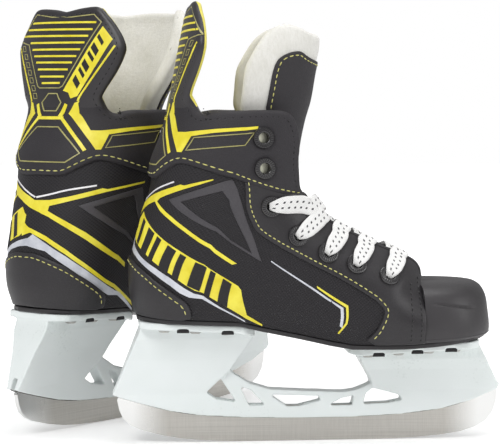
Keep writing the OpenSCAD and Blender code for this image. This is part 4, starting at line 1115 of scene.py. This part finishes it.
# ---- tongue
def pulled(V):
    """The left skate's tongue is pulled up and opened out above the collar."""
    V = V.copy()
    k = smooth((V[:, 2] - 146) / 58)
    f = crv(T_FRONT, np.clip(V[:, 2], 129, 214.6))
    V[:, 0] = f - (f - V[:, 0]) * (1 - 0.38 * k) + 1.5 * k
    V[:, 1] *= 1 + 0.30 * k
    V[:, 2] += k * (15.5 - 7.5 * np.clip(np.abs(V[:, 1]) / 42, 0, 1) ** 2)
    return V


FELT_HALF = [(0, 129.6), (30, 129.6), (60, 129.6), (80, 131), (84, 140), (86, 152), (89, 176), (91, 190), (92, 200),
             (90, 207), (84, 213), (74, 217.3), (64, 218.8), (56, 218.2), (46, 216.7), (33, 214.6), (15, 214), (0, 213.9)]
fh = fair([(a * AK, z) for a, z in FELT_HALF], 3)
fl = np.vstack([fh, (fh[1:-1] * [-1, 1])[::-1]])


def felt_in(V, d):
    return -7.2 + 0.9 * np.exp(-((np.abs(V[:, 0]) - 26) / 3.5) ** 2) * (V[:, 1] > 150) - 0.6 * smooth(d / 14)


mesh = pad([fl], lambda V, d: -1.3 + 0.55 * smooth(d / 10), felt_in, 2.9, h=2.6, hb=1.6, sf=tongue)
FLIP = Mesh()
FLIP.V, FLIP.U, FLIP.M, FLIP.n = mesh.V, mesh.U, mesh.M, mesh.n
FLIP.F = [f[::-1] for f in mesh.F]
U = np.vstack(FLIP.U)
P = np.vstack(FLIP.V)
face = np.linalg.norm(P - tongue0(U[:, 0], U[:, 1]), axis=1) < 3.2
pin = (edge_dist(U, segments(fl)) < 2.6) | (U[:, 1] < 152) | (face & (np.abs(U[:, 0]) < 68 * AK) & (U[:, 1] < 206))
puff(FLIP, pin, 1.5)
piece("tongue_felt_pad", FLIP, [FELT], replaces=("tongue_flap",), blend=("tongue", *TFOLD),
      left=pulled)
FACE_HALF = [(0, 128.6), (30, 128.6), (58, 129.5), (66, 134), (68, 150), (69, 176), (69.4, 188), (69, 197.5), (66.5, 201.3),
             (60, 203.6), (53, 204.4), (47, 204.2), (36, 201.8), (21, 200.2), (0, 199.6)]
gh = fair([(a * AK, z) for a, z in FACE_HALF], 3)
gl = np.vstack([gh, (gh[1:-1] * [-1, 1])[::-1]])
mesh = sheet([gl], -0.9, lambda V: 0.1 + 0.25 * smooth((V[:, 1] - 160) / 20), 0.8, h=2.4, hb=1.4, sf=tongue, back=False)
mesh.F = [f[::-1] for f in mesh.F]
piece("tongue_facing_panel", mesh, [COLLAR], replaces=("tongue_facing",), sharp=60,
      blend=("tongue", *TFOLD), left=pulled)
up = shift(gh[12:], 1.9)
ts = stitches(both(up), lambda V: 0.1 + 0.25 * smooth((V[:, 1] - 160) / 20), sf=tongue)
piece("tongue_stitching", ts, [THREAD_Y], blend=("tongue", *TFOLD), left=pulled)

T_PATH = np.array([(55.5, 88), (50, 92), (44, 95.8), (34, 101), (20, 108.2), (10, 115), (3.6, 121.6), (-1.2, 127.6),
                   (-3.2, 132.4)])
tp = fair(T_PATH, 5)
wv = np.interp(tp[:, 0], [-2.6, 2, 8, 20, 34, 46, 54, 57], [23, 20, 17.5, 15.6, 13.6, 12.4, 11, 10])
rows, rows2 = [], []
for (x, z), w in zip(tp, wv):
    v = np.linspace(-1, 1, 25)
    drop = 5.0 * np.abs(v) ** 2.4
    rows.append(np.stack([x - 0.35 * drop, w * v, z - 0.92 * drop], 1))
    rows2.append(np.stack([x - 0.35 * (drop + 4), w * v * 0.98, z - 0.92 * (drop + 4)], 1))
A, B = np.array(rows), np.array(rows2)
mesh = grid(A, turn=False)
grid(B, mesh=mesh, turn=True)
piece("tongue_lower", mesh, [COLLAR], replaces=("tongue_base",))

# ---- eyelets
prof = [(2.55, -6.6), (2.55, 1.6), (2.65, 2.3), (2.9, 2.66), (3.25, 2.84), (3.45, 2.8), (3.7, 2.86), (4.2, 2.9),
        (4.7, 2.86), (4.85, 2.78), (5.15, 2.72), (5.4, 2.4), (5.45, 1.3)]
ey = Mesh()
for i, (t, z) in enumerate(EYELETS):
    for sg in (1, -1):
        T, Z = np.array([sg * t]), np.array([z])
        c = boot0(T, Z)[0]
        n = normal_of(boot0, T, Z)[0]
        u = np.cross(n, [0, 0, 1.0])
        u /= np.linalg.norm(u)
        v = np.cross(n, u)
        dz = -0.35 if i > 1 else 0.1
        ring = []
        for k in range(96):
            a = k / 96 * 2 * math.pi
            r_ = []
            for rr, hh in prof:
                kn = 0.17 * (0.5 + 0.5 * math.cos(24 * a)) if 3.6 < rr < 4.8 else 0
                r_.append(c + (u * math.cos(a) + v * math.sin(a)) * rr + n * (hh + dz - kn))
            ring.append(r_)
        grid(np.array(ring), closed_u=True, mesh=ey, turn=True)
piece("eyelet_rings", ey, [EYE], replaces=("eyelets",), sharp=40)
# felt discs in the two top eyelets: the tongue felt seen through them, coloured darker as painted shade of the eyelet;
# each disc sinks deeper to one side
fb = Mesh()
for t, z in EYELETS[:2]:
    for sg in (1, -1):
        T, Z = np.array([sg * t]), np.array([z])
        c, n = boot0(T, Z)[0], normal_of(boot0, T, Z)[0]
        u = np.array([1.0, 0, 0]) - n * n[0]
        u /= np.linalg.norm(u)
        v = np.cross(n, u)
        ring = [[c + (u * math.cos(a) + v * math.sin(a)) * q + n * (0.3 - 0.05 * q * q - 0.75 * q * math.cos(a))
                 for q in (2.7, 2.3, 1.9, 1.5, 1.1, 0.7, 0.35, 0.02)] for a in np.linspace(0, 2 * math.pi, 32, endpoint=False)]
        grid(np.array(ring), closed_u=True, mesh=fb, turn=True)
piece("eyelet_felt", fb, [SHADED_EYELET_FELT])

# ---- laces
EXIT = [None, None, (0.6, 127.2), (5.6, 121.8), (16.4, 114.7), (30.4, 107.7), (47.2, 100.6)]
TOPZ = T_PATH[::-1]
top_z = lambda x: float(np.interp(x, TOPZ[:, 0], TOPZ[:, 1]))


def ribbon(P, N, W, th, mesh, sgn):
    P = fair(np.array(P), 8)
    k = np.linspace(0, len(N) - 1, len(P))
    Nn = np.stack([np.interp(k, range(len(N)), np.array(N)[:, j]) for j in range(3)], 1)
    Ww = np.interp(k, range(len(W)), W)
    T = np.gradient(P, axis=0)
    T /= np.linalg.norm(T, axis=1, keepdims=True)
    S = np.cross(T, Nn)
    S /= np.linalg.norm(S, axis=1, keepdims=True)
    Nn = np.cross(S, T)
    L = np.concatenate([[0], np.cumsum(np.linalg.norm(np.diff(P, axis=0), axis=1))])
    sec = [(-1, 0), (-0.94, 0.36), (-0.75, 0.5), (-0.4, 0.62), (0, 0.5), (0.4, 0.62), (0.75, 0.5), (0.94, 0.36), (1, 0),
           (0.94, -0.36), (0.5, -0.5), (0, -0.5), (-0.5, -0.5), (-0.94, -0.36)]
    rows, uv = [], []
    for j in range(len(P)):
        thick = th * (1 + 0.8 * (1 - Ww[j] / max(W)))
        wob = 0.12 * math.sin(L[j] * 0.9)
        rows.append([P[j] + S[j] * a * Ww[j] / 2 + Nn[j] * (b * thick + wob * a) for a, b in sec])
        uv.append([((a + 1) / 2, L[j] * sgn) for a, b in sec])
    A, U = np.array(rows), np.array(uv)
    A = np.concatenate([A, A[:, :1]], 1)
    U = np.concatenate([U, U[:, :1]], 1)
    grid(A, mesh=mesh, uv=U)
    b = A.shape[1]
    base = mesh.n - A.shape[0] * b
    mesh.F += [[base + i for i in range(b - 1)][::-1], [base + (A.shape[0] - 1) * b + i for i in range(b - 1)]]
    mesh.M += [0, 0]


lc = Mesh()
for i in range(2, 7):
    for sg in ((-1, 1) if i > 2 else (-1,)):
        lift = 0 if sg < 0 else 1.4
        t, z = EYELETS[i]
        ex = EXIT[i]
        te, ze = TX([ex])[0]
        pt = lambda a, b, o: boot(np.array([sg * a]), np.array([b]), np.array([o]))[0]
        nm = lambda a, b: normal_of(boot0, np.array([sg * a]), np.array([b]))[0]
        n0, n1 = nm(t, z), nm(te - 1, ze - 1)
        up = np.array([0.45, 0, 0.89])
        c = ex[0] + 3 if i == 2 else ex[0] - 0.5
        f = c if i == 2 else ex[0] - 6
        we = float(np.interp(ex[0], EDGE[5:, 0], EDGE[5:, 2]))
        wf = float(np.interp(f, EDGE[5:, 0], EDGE[5:, 2]))
        P = [pt(t, z, -2.5), pt(t, z, 1.6), pt(t + (te - t) * .10, z + (ze - z) * .10, 3.3),
             pt(t + (te - t) * .3, z + (ze - z) * .3, 3.0), pt(t + (te - t) * .62, z + (ze - z) * .62, 2.6),
             pt(te - 2.6, ze - 2.2, 2.5), pt(te - .9, ze - .6, 2.4), [c + 0.6, sg * (we - 3.0), ex[1] + 0.9],
             [c, sg * (we - 8), 0.5 * (ex[1] + top_z(c)) + 0.8], [c, 0, top_z(c) + 1.1 + lift],
             [f, -sg * wf * 0.5, top_z(f) + 0.4], [f - 1.2, -sg * (wf - 3), top_z(f) - 1.4],
             [f - 2, -sg * (wf + 2.5), top_z(f) - 3.4]]
        mid = (n1 + up) / np.linalg.norm(n1 + up)
        side_n = np.array([0.4, -sg * 0.35, 0.8])
        N = [n0, n0, n0, n0, n0, n1, n1, mid, up, up, up, side_n, side_n]
        W = [3.4, 4.2, 6.8, 8.8, 9.2, 9.2, 9.2, 9.2, 9.2, 9, 8.8, 8.6, 8.2]
        # the strip leaves the bore sideways, so its across direction follows the throat
        ribbon(P, N, W, 1.15, lc, 1)
piece("lace_runs", lc, [LACE], replaces=("lace",))

# ---- holder: the moulded part with its edges rounded
for side in SIDES:
    src = NODES[f"{side}_holder"]
    me = src.data.copy()
    ob = bpy.data.objects.new(f"{side}_holder_moulded", me)
    bpy.context.scene.collection.objects.link(ob)
    w = ob.modifiers.new("weld", "WELD")
    w.merge_threshold = 0.00005
    r = ob.modifiers.new("remesh", "REMESH")
    r.mode = "VOXEL"
    r.voxel_size = 0.00055
    s = ob.modifiers.new("smooth", "SMOOTH")
    s.factor, s.iterations = 0.5, 3
    dg = bpy.context.evaluated_depsgraph_get()
    new = bpy.data.meshes.new_from_object(ob.evaluated_get(dg), depsgraph=dg)
    ob.modifiers.clear()
    ob.data = new
    new.polygons.foreach_set("use_smooth", np.ones(len(new.polygons), bool))
    new.materials.clear()
    new.materials.append(HOLD)
    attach(ob, f"{side}_skate")
    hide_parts(f"{side}_holder")

# ---- the joint between the holder and the steel
HB = np.array([(-102.4, 25.7), (-98.7, 24.3), (-88.3, 21.2), (-72.6, 17), (-56.8, 14.5), (-30.4, 12.9), (-3.9, 12.4),
               (22.7, 12.5), (49.5, 13.6), (71.1, 16.1), (87.2, 20.4), (101.4, 26.4)])
jl = Mesh()
hb = fair(HB, 8)
for sg in (-1, 1):
    g = [[(x, sg * 1.56, z - 0.42), (x, sg * 1.62, z - 0.2), (x, sg * 1.56, z + 0.1)] for x, z in hb]
    grid(np.array(g), mesh=jl, turn=sg > 0)
piece("runner_joint", jl, [JOINT])

# ---- painted shade inside the notches in the holder's flanges: dark sheets stand in for their shadow
sl = Mesh()
for x, z in ((-66.6, 61.6), (-43.6, 60.5), (34.9, 48.1), (55.2, 49.3), (73, 50.1)):
    for sg in (-1, 1):
        g = [[(x + a * 3.15, sg * (22.4 - 0.25 * c * c), z + 0.1 + c * 1.15) for c in (-1, -0.5, 0, 0.5, 1)]
             for a in (-1, -0.6, -0.2, 0.2, 0.6, 1)]
        grid(np.array(g), mesh=sl, turn=sg < 0)
piece("holder_notch_painted_shade", sl, [DARK])

# ---- CAD parts that stay, with their finishes
FIN = {"outsole": SOLEM, "midsole_board": BOARD, "footbed": FOOT, "toe_box_lining": LINING, "rivets": SCREW,
       "runner_bolts": SCREW, "runner_nuts": SCREW}
for side in SIDES:
    for nm, m in list(FIN.items()) + [("runner", STEEL[side])]:
        o = NODES[f"{side}_{nm}"]
        o.data.materials.clear()
        o.data.materials.append(m)
        if nm in ("outsole", "footbed"):
            w = o.modifiers.new("weld", "WELD")
            w.merge_threshold = 0.00002
            b = o.modifiers.new("bevel", "BEVEL")
            b.width, b.segments, b.limit_method, b.angle_limit = 0.0007, 3, "ANGLE", math.radians(40)
            b.harden_normals = False

fm = bpy.data.meshes.new("floor")
fm.from_pydata([(-3, -3, -0.0003), (3, -3, -0.0003), (3, 4, -0.0003), (-3, 4, -0.0003)], [], [[0, 1, 2, 3]])
floor = bpy.data.objects.new("floor", fm)
bpy.context.scene.collection.objects.link(floor)
M = Mat("floor_white", Roughness=0.7)
M.put(M.b, "Base Color", M.mix(M.noise(3, 2), (0.86, 0.86, 0.86), (0.9, 0.9, 0.9)))
M.put(M.b, "Emission Color", (1, 1, 1))
far = M.range(M.split(M.vec("Object"))[1], 0.05, 1.2, 0.3, 1.0)
lp = M.node("LightPath")
M.put(M.b, "Emission Strength", M.mul(far, M.range(lp.outputs["Is Camera Ray"], 0, 1, 0.35, 1)))
fm.materials.append(M.m)
floor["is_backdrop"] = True

world = bpy.data.worlds.new("studio")
bpy.context.scene.world = world
world.use_nodes = True
bg = next(n for n in world.node_tree.nodes if n.type == "BACKGROUND")
bg.inputs[0].default_value = (1, 1, 1, 1)
wt = world.node_tree
path = wt.nodes.new("ShaderNodeLightPath")
mr = wt.nodes.new("ShaderNodeMapRange")
mr.inputs["To Min"].default_value, mr.inputs["To Max"].default_value = 0.42, 1.0
wt.links.new(path.outputs["Is Camera Ray"], mr.inputs["Value"])
wt.links.new(mr.outputs[0], bg.inputs[1])


def area(name, at, to, size_m, power, spread=None):
    L = bpy.data.lights.new(name, "AREA")
    L.shape = "RECTANGLE"
    L.size, L.size_y, L.energy = size_m[0], size_m[1], power
    o = bpy.data.objects.new(name, L)
    bpy.context.scene.collection.objects.link(o)
    o.location = at
    o.rotation_euler = (Vector(to) - Vector(at)).to_track_quat("-Z", "Y").to_euler()
    return o


area("key", (-0.7, -0.9, 1.1), (0, 0, 0.1), (0.6, 0.6), 11)
area("top", (0.1, 0.1, 1.3), (0, 0.02, 0.1), (0.9, 0.7), 8)
area("right_fill", (1.0, -0.5, 0.5), (0, 0, 0.1), (0.4, 0.8), 4)

cam = bpy.data.cameras.new("camera")
cam.sensor_width, cam.lens = 36.0, 122.6
cam.clip_start, cam.clip_end = 0.05, 20
co = bpy.data.objects.new("camera", cam)
bpy.context.scene.collection.objects.link(co)
co.location = (-0.1079, -0.8889, 0.1782)
co.rotation_euler = Vector((0.0869, 0.9938, -0.0696)).to_track_quat("-Z", "Y").to_euler()
bpy.context.scene.camera = co
bpy.context.scene.view_settings.view_transform = "Standard"

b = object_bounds()
